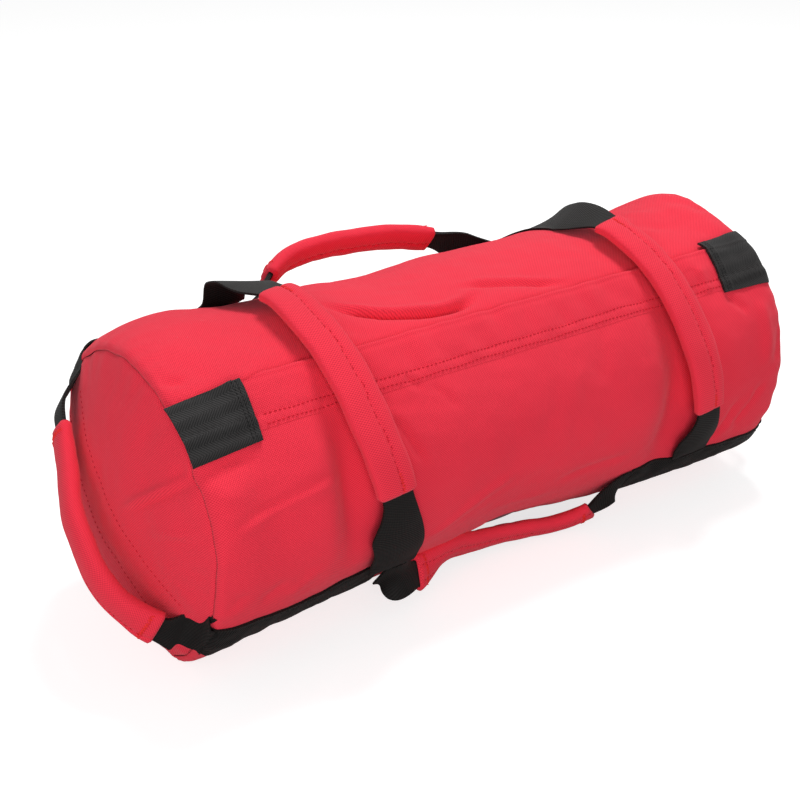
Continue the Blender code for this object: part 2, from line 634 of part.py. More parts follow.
def make_long_handles(finishes):
    """Two long handles: one stands up behind the bag, the other is folded under its front."""
    x = LONG_CENTRE + LONG_SPAN * smooth_through(LONG_SPAN_SHARES, PATH_STEPS)[:, 0]
    x[0], x[-1] = long_ends()
    seat = GAP + WEB_THICKNESS / 2
    shapes = (("back", BACK_RISE * smooth_through(BACK_RISE_SHARES, PATH_STEPS)[:, 0],
               np.full(PATH_STEPS, STRAP_ANGLE_BACK)),
              ("front", FRONT_RISE * smooth_through(FRONT_RISE_SHARES, PATH_STEPS)[:, 0],
               smooth_through(FRONT_ANGLES, PATH_STEPS)[:, 0]))
    ends = nearest(x, LONG_CENTRE - LONG_SLEEVE / 2), nearest(x, LONG_CENTRE + LONG_SLEEVE / 2)
    for word, rise, angle in shapes:
        centre = skin_point(x, angle, seat + np.maximum(rise, 0.0))
        made = handle("long_handle_" + word, centre, outward(angle), (LENGTHWISE, LENGTHWISE), ends,
                      (LONG_SLEEVE_WIDTH, LONG_SLEEVE_THICKNESS),
                      (LONG_FOLD_WIDTH, LONG_FOLD_THICKNESS), finishes)
        anchors = centre[0], centre[-1]
        hang(made, hinge_empty("long_axis_" + word, anchors[0], anchors[1] - anchors[0]))


def make_cross_handles(finishes):
    """Two handles over the zip side, their webbing sewn against the edges of the lengthwise straps."""
    edge = width_angle(WEB_WIDTH / 2 + 4 * GAP)
    angles = smooth_through((STRAP_ANGLE_BACK + edge, *CROSS_ANGLES, STRAP_ANGLE_FRONT - edge),
                            PATH_STEPS)[:, 0]
    rise = CROSS_RISE * smooth_through(CROSS_RISE_SHARES, PATH_STEPS)[:, 0]
    seat = GAP + WEB_THICKNESS / 2
    shapes = (("left", -1, LEFT_DRIFT_SHARES, LEFT_SLEEVE_ANGLES),
              ("right", 1, RIGHT_DRIFT_SHARES, RIGHT_SLEEVE_ANGLES))
    for word, side, drift_shares, sleeve_angles in shapes:
        x = side * CROSS_CENTRE + CROSS_DRIFT * smooth_through(drift_shares, PATH_STEPS)[:, 0]
        across = x[:, None] + WEB_WIDTH * np.array(WEB_ROW_SHARES)[None, :]
        seated = skin_radius(across, angles[:, None]).max(axis=1) - skin_radius(x, angles)
        centre = skin_point(x, angles, seated + seat + rise)
        ends = nearest(angles, sleeve_angles[0]), nearest(angles, sleeve_angles[1])
        runs = outward(angles[[0, -1]] + 90.0)
        made = handle("cross_handle_" + word, centre, outward(angles), runs, ends,
                      (CROSS_SLEEVE_WIDTH, CROSS_SLEEVE_THICKNESS),
                      (CROSS_FOLD_WIDTH, CROSS_FOLD_THICKNESS), finishes)
        hang(made, hinge_empty("cross_axis_" + word, centre[0], centre[-1] - centre[0]))


def make_end_handles(finishes):
    """A handle over each end, from the front strap at the seam to the back strap on the barrel."""
    out = END_REACH * smooth_through(END_OUT_SHARES, END_PATH_STEPS)[:, 0]
    place = END_SPAN * smooth_through(END_PLACE_SHARES, END_PATH_STEPS)[:, 0]
    dome = DOME_HEIGHT * (1.0 - (place / SEAM_RADIUS) ** 2)
    for side, word in ((-1, "left"), (1, "right")):
        inside = np.clip((SEAM_RADIUS - np.abs(place)) / SHOULDER_LENGTH, 0.0, 1.0)
        share = 1.0 if side < 0 else 1.0 - (1.0 - END_RIGHT_SHARE) * inside
        stand = dome + (out - dome) * share
        centre = place[:, None] * outward(STRAP_ANGLE_FRONT)
        centre[:, 0] = side * (HALF_LENGTH + stand)
        centre[:, 2] += AXIS_HEIGHT
        pivot = np.array([side * (HALF_LENGTH - END_PIVOT_DEPTH), 0.0, AXIS_HEIGHT])
        ends = nearest(place, END_SLEEVE_BACK), nearest(place, END_SLEEVE_FRONT)
        runs = unit(centre[[1, -1]] - centre[[0, -2]])
        made = handle("end_handle_" + word, centre, unit(centre - pivot), runs, ends,
                      (END_SLEEVE_WIDTH, END_SLEEVE_THICKNESS),
                      (END_FOLD_WIDTH, END_FOLD_THICKNESS), finishes)
        seam = np.array([side * HALF_LENGTH, 0.0, AXIS_HEIGHT])
        hang(made, hinge_empty("end_axis_" + word, seam, outward(STRAP_ANGLE_FRONT)))


def pouch_point(middle, x, angle):
    """Surface of a sand pouch: seated on the underside of the shell, with room under the zip."""
    share = (x - middle) / POUCH_LENGTH + 0.5
    girth = np.interp(share, POUCH_END_SHARES, POUCH_GIRTH_SHARES)
    room = POUCH_ROOM * (1.0 + np.cos(np.radians(angle - ZIP_ANGLE))) / 2
    inner = skin_radius(x, angle) - FABRIC - GAP - room
    return skin_point(x, angle, inner * girth - skin_radius(x, angle))


def make_pouches(finishes):
    """Sand pouches in a row inside the shell, each with its hook-and-loop closure strip."""
    facet = 360.0 / POUCH_SIDES
    angles = CLOSURE_ANGLE + facet * (np.arange(POUCH_SIDES) - 0.5)
    for number in range(POUCH_COUNT):
        middle = POUCH_SPACING * (number - (POUCH_COUNT - 1) / 2)
        ends = middle + POUCH_LENGTH * (np.array(POUCH_END_SHARES) - 0.5)
        x = np.array(sorted({*ends, *stations_between(ends[2], ends[3])}))
        rings = pouch_point(middle, x[:, None], angles[None, :])
        floor = FABRIC + GAP
        rings[..., 2] = np.maximum(rings[..., 2], floor)
        loft(f"sand_pouch_{number + 1}", rings, finishes["pouch"])
        rows = stations_between(middle - CLOSURE_LENGTH / 2, middle + CLOSURE_LENGTH / 2)[:, None]
        low = pouch_point(middle, rows, angles[None, 0])
        high = pouch_point(middle, rows, angles[None, 1])
        share = np.array(CLOSURE_EDGE_SHARES)[None, :, None]
        strip = low + share * (high - low) + GAP * outward(CLOSURE_ANGLE)
        sheet(f"pouch_closure_{number + 1}", strip, CLOSURE_THICKNESS, finishes["closure"])


def centre_footprint():
    """Moves the finished pieces from the bag's own middle to the middle of the whole footprint."""
    for item in bpy.data.objects:
        if item.parent is None:
            item.location.x += MIDDLE_ALONG
            item.location.y += AXIS_ACROSS
    bpy.context.view_layer.update()


def main():
    clear_scene()
    finishes = {
        "red": material("red_canvas", (0.78, 0.045, 0.085), 0.75),
        "webbing": material("black_webbing", (0.012, 0.012, 0.013), 0.55),
        "zip": material("black_zip", (0.015, 0.015, 0.016), 0.45),
        "metal": material("zip_metal", (0.30, 0.30, 0.31), 0.35, 1.0),
        "pouch": material("pouch_canvas", (0.10, 0.10, 0.11), 0.8),
        "closure": material("hook_and_loop", (0.02, 0.02, 0.022), 0.9),
    }
    make_shell(finishes)
    make_linings(finishes)
    make_flap(finishes)
    make_zip(finishes)
    make_slider(finishes)
    make_straps(finishes)
    make_long_handles(finishes)
    make_cross_handles(finishes)
    make_end_handles(finishes)
    make_pouches(finishes)
    centre_footprint()


main()
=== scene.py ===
"""Sandbag trainer, dressed: canvas, webbing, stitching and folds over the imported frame.

Angles round the bag are in degrees from straight up (0) towards the front, -Y (90).  A place on the
barrel is its distance along the bag and its angle; a lift is a height above the canvas.  All lengths
are in metres, apart from tables and waves that say mm.
"""
import math

import bmesh
import bpy
import numpy as np
from mathutils import Matrix, Vector


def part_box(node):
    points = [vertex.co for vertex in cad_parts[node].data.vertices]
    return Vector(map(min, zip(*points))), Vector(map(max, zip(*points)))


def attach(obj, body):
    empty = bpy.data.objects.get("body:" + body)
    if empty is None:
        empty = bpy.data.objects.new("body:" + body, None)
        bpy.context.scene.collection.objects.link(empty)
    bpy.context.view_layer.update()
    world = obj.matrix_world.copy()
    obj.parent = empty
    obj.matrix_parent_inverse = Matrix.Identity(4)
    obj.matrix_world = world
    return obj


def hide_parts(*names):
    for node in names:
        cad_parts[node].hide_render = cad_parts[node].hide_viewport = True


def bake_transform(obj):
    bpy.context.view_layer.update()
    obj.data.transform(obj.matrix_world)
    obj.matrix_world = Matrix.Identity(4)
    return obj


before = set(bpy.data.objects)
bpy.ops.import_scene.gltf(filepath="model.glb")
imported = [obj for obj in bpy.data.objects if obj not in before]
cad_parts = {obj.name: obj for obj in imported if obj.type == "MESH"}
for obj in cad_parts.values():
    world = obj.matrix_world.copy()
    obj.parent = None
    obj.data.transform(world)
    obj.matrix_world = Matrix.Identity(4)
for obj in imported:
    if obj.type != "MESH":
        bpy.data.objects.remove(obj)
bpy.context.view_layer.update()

MM = 0.001
TURN = 2 * math.pi
X_AXIS = np.array([1.0, 0.0, 0.0])
SIDES = ((-1, "left"), (1, "right"))

# The bag, as the frame has it: the middle of its axis, and from there to an end seam
MIDDLE = np.array([0.005, -0.004, 0.104])
HALF = 0.2625
RADIUS = 0.114
SEAM_RADIUS = 0.106
DOME = 0.025
# Length over which the barrel rounds down to a seam, and over which cloth is turned in at one
SHOULDER = 0.030
ROLL = 0.0035
# The waist: where it is deepest, half its length, its depth at the ends and what the middle adds
WAIST_ANGLE, WAIST_REACH = 145.0, 0.170
WAIST_ENDS, WAIST_MORE = 0.004, 0.014
CLOTH = 0.0015
WEB_WIDTH = 0.038
WEB_THICKNESS = 0.0016
# Gaps: between a piece and what it is sewn to, from a seam to the pieces that stop short of it,
# between a strap and the handle that goes on from it, and under the lowest cloth
SEWN_GAP = 0.0004
END_GAP = 0.0012
STRAP_GAP = 0.0008
FLOOR_GAP = 0.0001
FRONT_ANGLE = 129.0
BACK_ANGLE = -51.0
BACK_STRAP_END = 0.242
SLOT_ANGLE = 39.5
SLOT_WIDTH = 0.013
SLOT_LENGTH = 0.444
FLAP_TOP, FLAP_FOOT = 32.4, 49.6
FLAP_CLOTH = 0.0011
STITCH_ROWS = (45.2, 48.2)
# The slider's middle under the flap: along the bag, and its angle
SLIDER_PLACE, SLIDER_ANGLE = 0.191, 40.5
# Tabs: where the outer edge lies at its upper and lower corner, where the inner edge lies, and the
# angles of the upper and lower edges at the outer and at the inner end
TABS = {"left": ((-0.2682, -0.2645), -0.2164, (34.4, 54.8), (32.5, 52.8)),
        "right": ((0.2530, 0.2566), 0.2050, (27.6, 52.2), (29.0, 51.0))}
# Stitch rows: on a tab and on a strap as shares of its length and half width, and on an end panel
TAB_ROWS = (0.93, 0.87)
STRAP_ROW = 0.84
END_ROW = 0.0172


# Numbers and shapes

def outward(angle):
    """Unit vector square to the bag's axis: up at 0 degrees, towards the front at 90."""
    a = np.radians(np.asarray(angle, float))
    return np.stack([np.zeros_like(a), -np.sin(a), np.cos(a)], axis=-1)


def unit(v):
    """Vectors of length 1."""
    return v / np.maximum(np.linalg.norm(v, axis=-1, keepdims=True), 1e-12)


def smoothed(values, reach):
    """Mean of the values within reach samples of each."""
    count = 2 * reach + 1
    return np.convolve(np.pad(values, reach, mode="edge"), np.ones(count) / count, mode="valid")


def bell(distance, width):
    """exp(-(distance / width) squared)."""
    return np.exp(-(distance / width) ** 2)


def step(low, high, value):
    """Smooth step: 0 up to low, 1 from high on, and 3t^2 - 2t^3 between them."""
    t = np.clip((value - low) / (high - low), 0.0, 1.0)
    return t * t * (3 - 2 * t)


def through(rows, count):
    """Catmull-Rom curve through the rows, read at evenly spaced parameters."""
    rows = np.asarray(rows, float)
    flat = rows.ndim == 1
    if flat:
        rows = rows[:, None]
    padded = np.vstack([2 * rows[0] - rows[1], rows, 2 * rows[-1] - rows[-2]])
    place = np.linspace(0.0, len(rows) - 1.0, count)
    span = np.minimum(place.astype(int), len(rows) - 2)
    t = (place - span)[:, None]
    a, b, c, d = (padded[span + k] for k in range(4))
    curve = (b + (c - a) / 2 * t + (a - 2.5 * b + 2 * c - d / 2) * t ** 2
             + ((d - a) / 2 + (b - c) * 1.5) * t ** 3)
    return curve[:, 0] if flat else curve


def ripple(u, v, seed, longest):
    """Sum of nine plane waves with seeded directions and lengths from longest down to half of it."""
    count = 9
    draw = np.random.default_rng(seed)
    total = np.zeros(np.broadcast(u, v).shape)
    for _ in range(count):
        turn, phase, share = draw.uniform(0, TURN), draw.uniform(0, TURN), draw.uniform(0.5, 1.0)
        k = TURN / (longest * share)
        total = total + np.sin(k * (u * math.cos(turn) + v * math.sin(turn)) + phase) * share
    return total / math.sqrt(count / 2)


def fold(u, v, path, width, depth, tilt=0.0, fade=(0.25, 0.25)):
    """A fold along a path of (u, v): depth * bell(distance), and tilt times the bell's slope, which
    lifts one side and lowers the other; it fades out over these shares of its length at its ends."""
    line = through(path, 28)
    start, run = line[:-1], np.diff(line, axis=0)
    shape = np.broadcast(u, v).shape
    p = np.stack([np.broadcast_to(u, shape).ravel(), np.broadcast_to(v, shape).ravel()], axis=-1)
    near = (np.abs(p - line.mean(0)) < np.ptp(line, axis=0) / 2 + 4 * width).all(axis=-1)
    out = np.zeros(len(p))
    q = p[near]
    if len(q):
        rel = q[:, None] - start[None]
        t = np.clip((rel * run).sum(-1) / (run * run).sum(-1), 0.0, 1.0)
        off = rel - t[..., None] * run
        dist = np.linalg.norm(off, axis=-1)
        best = dist.argmin(axis=1)
        rows = np.arange(len(q))
        d, along = dist[rows, best], (best + t[rows, best]) / len(run)
        side = np.sign(run[best, 0] * off[rows, best, 1] - run[best, 1] * off[rows, best, 0])
        strength = step(0.0, fade[0], along) * step(0.0, fade[1], 1.0 - along)
        out[near] = strength * bell(d, width) * (depth + tilt * side * d / width * 1.6)
    return out.reshape(shape)


# The filled bag's skin

# Folds that show on the barrel: path of (mm along, degrees), width and depth in mm, tilt in mm
BARREL_FOLDS = (
    (((-258, 78), (-232, 75), (-208, 73), (-187, 71.5), (-160, 70)), 3.6, 0.2, 1.5),
    (((-262, 60), (-250, 58.5), (-236, 57), (-222, 57)), 4.5, -1.6, 0.0),
    (((-262, 66), (-246, 66), (-228, 64)), 6.0, 1.2, 0.0),
    (((-264, 23), (-252, 25), (-243, 26)), 3.8, -2.4, 0.0),
    (((-256, 14), (-250, 20), (-248, 27)), 4.0, 0.7, 0.0),
    (((-238, 18), (-235, 24), (-234, 29)), 4.5, -0.7, 0.0),
    (((-124, 4), (-98, 16.5), (-66, 23.5), (-32, 25.5), (-3, 20)), 4.5, -3.8, -5.0),
    (((-108, 13.5), (-88, 20.5), (-60, 25.5), (-32, 27), (-13, 24.5)), 2.5, -2.3, 0.0),
    (((-24, 16), (4, 17.5), (31, 22), (56, 27.5), (76, 30)), 4.2, -1.7, -2.4),
    (((-8, 18), (14, 20), (38, 24.5), (62, 29)), 2.4, -0.9, 0.0),
    (((-125, 21), (-109, 29), (-80, 31)), 5.0, -0.8, 0.0),
    (((-104, 47), (-99, 49), (-92, 53)), 3.2, -1.3, 0.6),
    (((-124, 56), (-114, 66), (-104, 78)), 3.2, -2.2, 0.9),
    (((-88, 52), (-78, 56), (-70, 63)), 3.0, -1.1, 0.5),
    (((-128, 52), (-112, 55), (-96, 55)), 5.0, -0.8, 0.0),
    (((28, 54), (22, 62), (12, 72), (4, 82)), 8.0, -0.8, 0.0),
    (((46, 58), (36, 68), (24, 77)), 8.0, 0.9, 0.0),
    (((72, 50), (66, 60), (56, 70)), 8.0, -0.7, 0.0),
    (((84, 50), (78, 62), (72, 72)), 7.0, 0.7, 0.0),
    (((-18, 94), (-44, 98), (-72, 105), (-96, 114)), 5.0, 1.8, 0.8),
    (((20, 108), (60, 107), (102, 108)), 5.0, -1.7, 0.6),
    (((-40, 109), (-10, 112), (30, 115)), 6.0, 1.0, 0.5),
    (((-255, 108), (-250, 104), (-243, 100)), 3.5, -1.0, 0.0),
    (((-232, 108), (-224, 105), (-212, 101)), 4.0, -1.1, 0.4),
    (((-214, 110), (-200, 106), (-188, 100)), 5.0, 0.8, 0.0),
    (((196, 118), (203, 108), (212, 94)), 4.0, -2.6, 1.0),
    (((214, 112), (226, 102), (240, 90)), 4.0, -2.4, 1.2),
    (((206, 116), (216, 104), (228, 92)), 5.0, 1.2, 0.0),
    (((237, 56), (239, 70), (236, 86)), 6.0, 2.6, 0.0),
    (((256, 66), (252, 76), (248, 86)), 5.0, -1.9, 0.8),
    (((204, 53), (211, 56), (222, 62)), 4.0, -1.8, 1.2),
    (((176, 38), (178, 44), (176, 50)), 6.0, -1.4, 0.0),
    (((188, 38), (190, 44), (190, 50)), 5.0, 0.9, 0.0),
    (((172, 4), (196, 14), (222, 18)), 7.0, -1.0, 0.4),
    (((186, -8), (206, 2), (236, 8)), 8.0, 1.2, 0.0),
    (((228, -4), (242, 6), (252, 14)), 6.0, -1.6, 0.0),
    (((-210, -60), (-190, -85), (-178, -120)), 6.0, -1.4, 0.5),
    (((-60, -75), (-20, -82), (40, -80)), 7.0, -1.5, 0.6),
    (((-40, -100), (10, -108), (70, -104)), 8.0, 1.3, 0.0),
    (((120, -70), (140, -95), (150, -125)), 7.0, -1.6, 0.5),
    (((214, -60), (224, -82), (236, -96)), 6.0, -1.3, 0.5),
    (((-246, -70), (-232, -90), (-226, -116)), 6.0, 1.1, 0.4),
)
# Broad swells and hollows: (mm along, degrees), reach along and around in mm, height in mm
SWELLS = (
    (-162, 78, 12, 44, -10.5), (-188, 74, 20, 54, 3.6), (-258, 66, 20, 24, 3.0),
    (139, 90, 16, 50, -10.6), (104, 68, 24, 48, 3.0), (210, 66, 30, 44, 1.6),
    (-135, 100, 22, 30, -3.0), (132, 108, 26, 26, -4.0), (0, 70, 90, 50, 1.0),
    (-30, 6, 60, 24, -2.6), (240, -6, 26, 44, 6.6), (-75, 0, 34, 30, -1.2),
    (-214, -14, 30, 44, 4.6), (-240, -40, 24, 40, 1.5), (252, 40, 20, 70, 2.2),
    (-136, 124, 58, 26, -6.5), (-168, 145, 58, 30, -5.5), (-60, -26, 60, 40, -2.4),
    (222, 122, 34, 26, 2.5), (0, -90, 110, 50, 1.6), (-190, -100, 40, 60, 1.2),
    (190, -110, 40, 60, 1.2),
)
# Waves all over the canvas: seed, longest wave and height in mm
SKIN_WAVES = ((3, 120.0, 0.55), (8, 46.0, 0.26), (5, 22.0, 0.12))
# How far the canvas stands out near an end seam: height in mm, angle and reach in degrees
LEFT_RIM = ((2.0, 42.0, 12.0), (4.6, 78.0, 18.0), (-3.5, 57.5, 3.6), (4.5, 161.0, 13.0))
RIGHT_RIM = ((3.6, -8.0, 24.0), (3.2, 48.0, 26.0))
RIM_FROM = 0.215
# The ridge above the flap: angle, and height in mm.  Hollows under the flap stop at HELD mm
RIDGE_ANGLE, RIDGE_HEIGHT = 30.5, 2.3
HELD = -0.6


def seam_radius(angle):
    """Radius of the end seams: a circle that waves by less than a millimetre."""
    wave = 0.5 * np.sin(np.radians(angle) * 17 + 1.0) + 0.4 * np.sin(np.radians(angle) * 29 + 2.0)
    return SEAM_RADIUS + MM * wave


def corner_push(x, angle):
    """Sum of the bells of LEFT_RIM and RIGHT_RIM, faded in from RIM_FROM to the seam.  The left front
    corner stands further out, but is drawn in just below its tab; the right end's top stands out too."""
    left, right = (sum(height * bell(angle - at, reach) for height, at, reach in rim)
                   for rim in (LEFT_RIM, RIGHT_RIM))
    return MM * (left * step(-RIM_FROM, -HALF, x) + right * step(RIM_FROM, HALF, x))


def shouldered(share, edge):
    """Radius of the full barrel: a quarter ellipse from a seam's radius, edge, up to RADIUS."""
    return edge + (RADIUS - edge) * np.sqrt(np.clip(1.0 - (1.0 - share) ** 2, 0.0, 1.0))


def waist(x, angle):
    """How far the filled bag is drawn in below, most in the middle of its length."""
    along = 0.5 + 0.5 * np.cos(np.pi * np.minimum(np.abs(x) / WAIST_REACH, 1.0))
    around = ((1.0 + np.cos(np.radians(angle - WAIST_ANGLE))) / 2) ** 6
    return (WAIST_ENDS + WAIST_MORE * along) * around


def gathers(angle, many, sway, few, slow, shift):
    """Short uneven puckers along a seam: many round it, crowded by a few sways, and a slow wave in
    their height."""
    turn = np.radians(angle)
    return np.sin(turn * many + sway * np.sin(turn * few)) * (0.6 + 0.4 * np.sin(turn * slow + shift))


def skin_radius(x, angle):
    """Radius of the canvas: full barrel, round shoulders, drawn-in waist below, swells and folds."""
    x, angle = np.broadcast_arrays(np.asarray(x, float), np.asarray(angle, float))
    angle = (angle + 180.0) % 360.0 - 180.0
    inwards = HALF - np.abs(x)
    share = np.clip(inwards / SHOULDER, 0.0, 1.0)
    radius = shouldered(share, seam_radius(angle)) - waist(x, angle) * share
    u, v = x / MM, np.radians(angle) * RADIUS / MM
    rise = np.zeros(x.shape)
    for at, turn, reach, reach_round, height in SWELLS:
        rise += height * bell(u - at, reach) * bell(v - math.radians(turn) * RADIUS / MM, reach_round)
    for path, width, depth, tilt in BARREL_FOLDS:
        line = [(a, math.radians(b) * RADIUS / MM) for a, b in path]
        rise += fold(u, v, line, width, depth, tilt)
    for seed, longest, height in SKIN_WAVES:
        rise += height * ripple(u, v, seed, longest)
    # the zip and its tapes hold the canvas up under the flap, so no hollow reaches there
    held = step(26.0, 31.0, angle) * (1 - step(48.5, 54.0, angle)) * (1 - step(0.235, 0.250, np.abs(x)))
    rise = np.where(rise < HELD, HELD + (rise - HELD) * (1 - held), rise)
    # the canvas stands in a low ridge just above the flap, steeper on the flap's side
    ridge = bell(angle - RIDGE_ANGLE, np.where(angle < RIDGE_ANGLE, 8.0, 4.8))
    rise = rise + RIDGE_HEIGHT * ridge * (1 - step(0.205, 0.235, np.abs(x)))
    # folds fade towards the end seams, where the canvas is gathered
    gather = gathers(angle, 41, 2.0, 5, 7, np.sign(x)) * (1.0 - share) ** 2
    rise = rise * step(0.0, 0.35, share) + 0.55 * gather * step(0.0, 0.06, share)
    # the turned seam itself: the canvas rolls in to the stitching
    roll = np.clip(1.0 - inwards / ROLL, 0.0, 1.0)
    return radius + rise * MM + corner_push(x, angle) - 0.0022 * roll ** 2


def skin(x, angle, lift=0.0):
    """Point at a lift above the canvas; the underside is pressed flat where the bag lies."""
    x, angle, lift = np.broadcast_arrays(*(np.asarray(v, float) for v in (x, angle, lift)))
    point = (skin_radius(x, angle) + lift)[..., None] * outward(angle)
    point[..., 0] = x
    point = point + MIDDLE
    low = -np.minimum(lift, 0.0) + FLOOR_GAP
    point[..., 2] = np.maximum(point[..., 2], low)
    return point


# Meshes

def slab(name, top, bottom, uv, wrap=False, holes=None):
    """A panel between two grids of points, closed round its border and round any holes.
    uv holds the cloth's own place in metres, one column more than the grid where it wraps."""
    rows, columns = top.shape[:2]
    across = columns if wrap else columns - 1
    kept = np.ones((rows - 1, across), bool) if holes is None else ~holes
    i, j = np.nonzero(kept)
    k = (j + 1) % columns
    size = rows * columns
    here, right = i * columns + j, i * columns + k
    far, down = (i + 1) * columns + k, (i + 1) * columns + j
    uv_here, uv_right, uv_far, uv_down = uv[i, j], uv[i, j + 1], uv[i + 1, j + 1], uv[i + 1, j]
    faces = [np.stack([here, right, far, down], 1), np.stack([here, down, far, right], 1) + size]
    places = [np.stack([uv_here, uv_right, uv_far, uv_down], 1),
              np.stack([uv_here, uv_down, uv_far, uv_right], 1)]
    cloth = np.zeros((rows + 1, across + 2), bool)
    cloth[1:-1, 1:-1] = kept
    if wrap:
        cloth[1:-1, 0], cloth[1:-1, -1] = kept[:, -1], kept[:, 0]
    sides = ((-1, 0, here, right, uv_here, uv_right), (0, 1, right, far, uv_right, uv_far),
             (1, 0, far, down, uv_far, uv_down), (0, -1, down, here, uv_down, uv_here))
    for di, dj, a, b, uv_a, uv_b in sides:
        bare = ~cloth[i + 1 + di, j + 1 + dj]
        faces.append(np.stack([b, a, a + size, b + size], 1)[bare])
        places.append(np.stack([uv_b, uv_a, uv_a, uv_b], 1)[bare])
    return mesh(name, np.concatenate([top.reshape(-1, 3), bottom.reshape(-1, 3)]),
                np.concatenate(faces), np.concatenate(places))


def mesh(name, points, faces, places):
    """Object from arrays of points, four-cornered faces and the cloth's place at each corner."""
    made = bpy.data.meshes.new(name)
    made.vertices.add(len(points))
    made.vertices.foreach_set("co", points.astype(np.float32).ravel())
    made.loops.add(faces.size)
    made.loops.foreach_set("vertex_index", faces.astype(np.int32).ravel())
    made.polygons.add(len(faces))
    made.polygons.foreach_set("loop_start", np.arange(0, faces.size, 4, dtype=np.int32))
    made.uv_layers.new(name="cloth").data.foreach_set("uv", places.astype(np.float32).ravel())
    made.polygons.foreach_set("use_smooth", np.ones(len(faces), bool))
    made.update(calc_edges=True)
    made.validate()
    item = bpy.data.objects.new(name, made)
    bpy.context.scene.collection.objects.link(item)
    return item


def soften(item, angle=50.0):
    """Shades edges up to an angle smooth and sharper ones as edges."""
    item.data.set_sharp_from_angle(angle=math.radians(angle))
    return item


def cloth_map(along, across):
    """The cloth's own place at each point of a grid."""
    return np.stack(np.broadcast_arrays(along, across), -1)


def ringed(name, rings, maps, closed=False):
    """Piece through rings of points; a closed one goes from its last ring to its first again."""
    rows, columns = rings.shape[:2]
    count = rows if closed else rows - 1
    i, j = (a.ravel() for a in np.meshgrid(np.arange(count), np.arange(columns), indexing="ij"))
    n, k = (i + 1) % rows, (j + 1) % columns
    faces = np.stack([i * columns + j, i * columns + k, n * columns + k, n * columns + j], 1)
    places = np.stack([maps[i, j], maps[i, j + 1], maps[n, j + 1], maps[n, j]], 1)
    return mesh(name, rings.reshape(-1, 3), faces, places)


def sleeve_mesh(name, centre, side, face, outer, inner, uv):
    """Tube with a bore: the outer rings run out, the inner rings run back, and the ends are lips.
    outer and inner hold the two offsets (across, up) of every ring point."""
    out, back = (centre[:, None] + ring[..., :1] * side[:, None] + ring[..., 1:] * face[:, None]
                 for ring in (outer, inner))
    return ringed(name, np.concatenate([out, back[::-1]]), np.concatenate([uv, uv[::-1]]), closed=True)


def face_out(item):
    """Turns all faces of a closed piece outwards."""
    work = bmesh.new()
    work.from_mesh(item.data)
    if work.calc_volume(signed=True) < 0:
        bmesh.ops.reverse_faces(work, faces=work.faces[:])
    work.to_mesh(item.data)
    work.free()
    return item


def weld(item, distance, fill=False):
    """Joins points within a distance, closes open borders if asked, and turns all faces outwards."""
    work = bmesh.new()
    work.from_mesh(item.data)
    bmesh.ops.remove_doubles(work, verts=work.verts[:], dist=distance)
    if fill:
        bmesh.ops.holes_fill(work, edges=[edge for edge in work.edges if edge.is_boundary])
    bmesh.ops.recalc_face_normals(work, faces=work.faces[:])
    work.to_mesh(item.data)
    work.free()
    return face_out(item)


def path_frame(centre, normal, end_runs=None):
    """Side and face directions of a strip along a path, its face towards normal."""
    along = unit(np.gradient(centre, axis=0))
    if end_runs is not None:
        count = max(2, len(along) // 26)
        share = step(0.0, 1.0, np.linspace(0.0, 1.0, count))[:, None]
        along[:count] = unit(end_runs[0] * (1 - share) + along[:count] * share)
        along[-count:] = unit(end_runs[1] * share + along[-count:] * (1 - share))
    side = unit(np.cross(along, normal))
    return side, np.cross(side, along), along


def lengths(centre):
    """Distance along a path at each of its points."""
    return np.concatenate([[0.0], np.cumsum(np.linalg.norm(np.diff(centre, axis=0), axis=1))])


def stitches(name, at, along, out, length=0.0026, width=0.0007):
    """Stitches, each a small lozenge of thread: four six-sided rings, the outer two small and sunk."""
    turn = np.arange(6) * TURN / 6
    reach = np.array([0.15, 1.0, 1.0, 0.15])
    place = np.array([-0.5, -0.28, 0.28, 0.5])
    sunk = 0.3
    side = np.cross(along, out)
    ring = (reach[:, None, None] * width / 2) * np.stack([np.cos(turn), np.sin(turn)], -1)[None]
    centre = at[:, None, None] + (length * place)[None, :, None, None] * along[:, None, None]
    points = centre + ring[None, ..., :1] * side[:, None, None] \
        + (ring[None, ..., 1:] - sunk * width * (1 - reach[:, None, None])) * out[:, None, None]
    j = np.arange(6)
    k = (j + 1) % 6
    faces = [np.stack([r * 6 + j, r * 6 + k, r * 6 + 6 + k, r * 6 + 6 + j], 1) for r in range(3)]
    caps = [[3, 2, 1, 0], [5, 4, 3, 0], [18, 19, 20, 21], [18, 21, 22, 23]]
    one = np.concatenate(faces + [np.array(caps)])
    every = (one[None] + (np.arange(len(at)) * 24)[:, None, None]).reshape(-1, 4)
    return face_out(mesh(name, points.reshape(-1, 3), every, np.zeros((len(every), 4, 2))))


def finish(item, body, material, slot, *nodes):
    """Gives a piece its material and its body, and hides the nodes that it stands for; slot is not used.
    """
    item.data.materials.clear()
    item.data.materials.append(material)
    if body is not None:
        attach(item, body)
    if nodes:
        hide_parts(*nodes)
    return item


def sew(name, rows, body, fibre, slot, **sizes):
    """Stitches in rows, each of its places, the directions along it and those out of the cloth."""
    at, run, out = (np.concatenate(part) for part in zip(*rows))
    finish(stitches(name, at, run, out, **sizes), body, fibre, slot)


# Materials

def linear(code):
    """Linear colour of an sRGB hex value."""
    parts = [int(code[k:k + 2], 16) / 255 for k in (1, 3, 5)]
    return (*[p / 12.92 if p <= 0.04045 else ((p + 0.055) / 1.055) ** 2.4 for p in parts], 1.0)


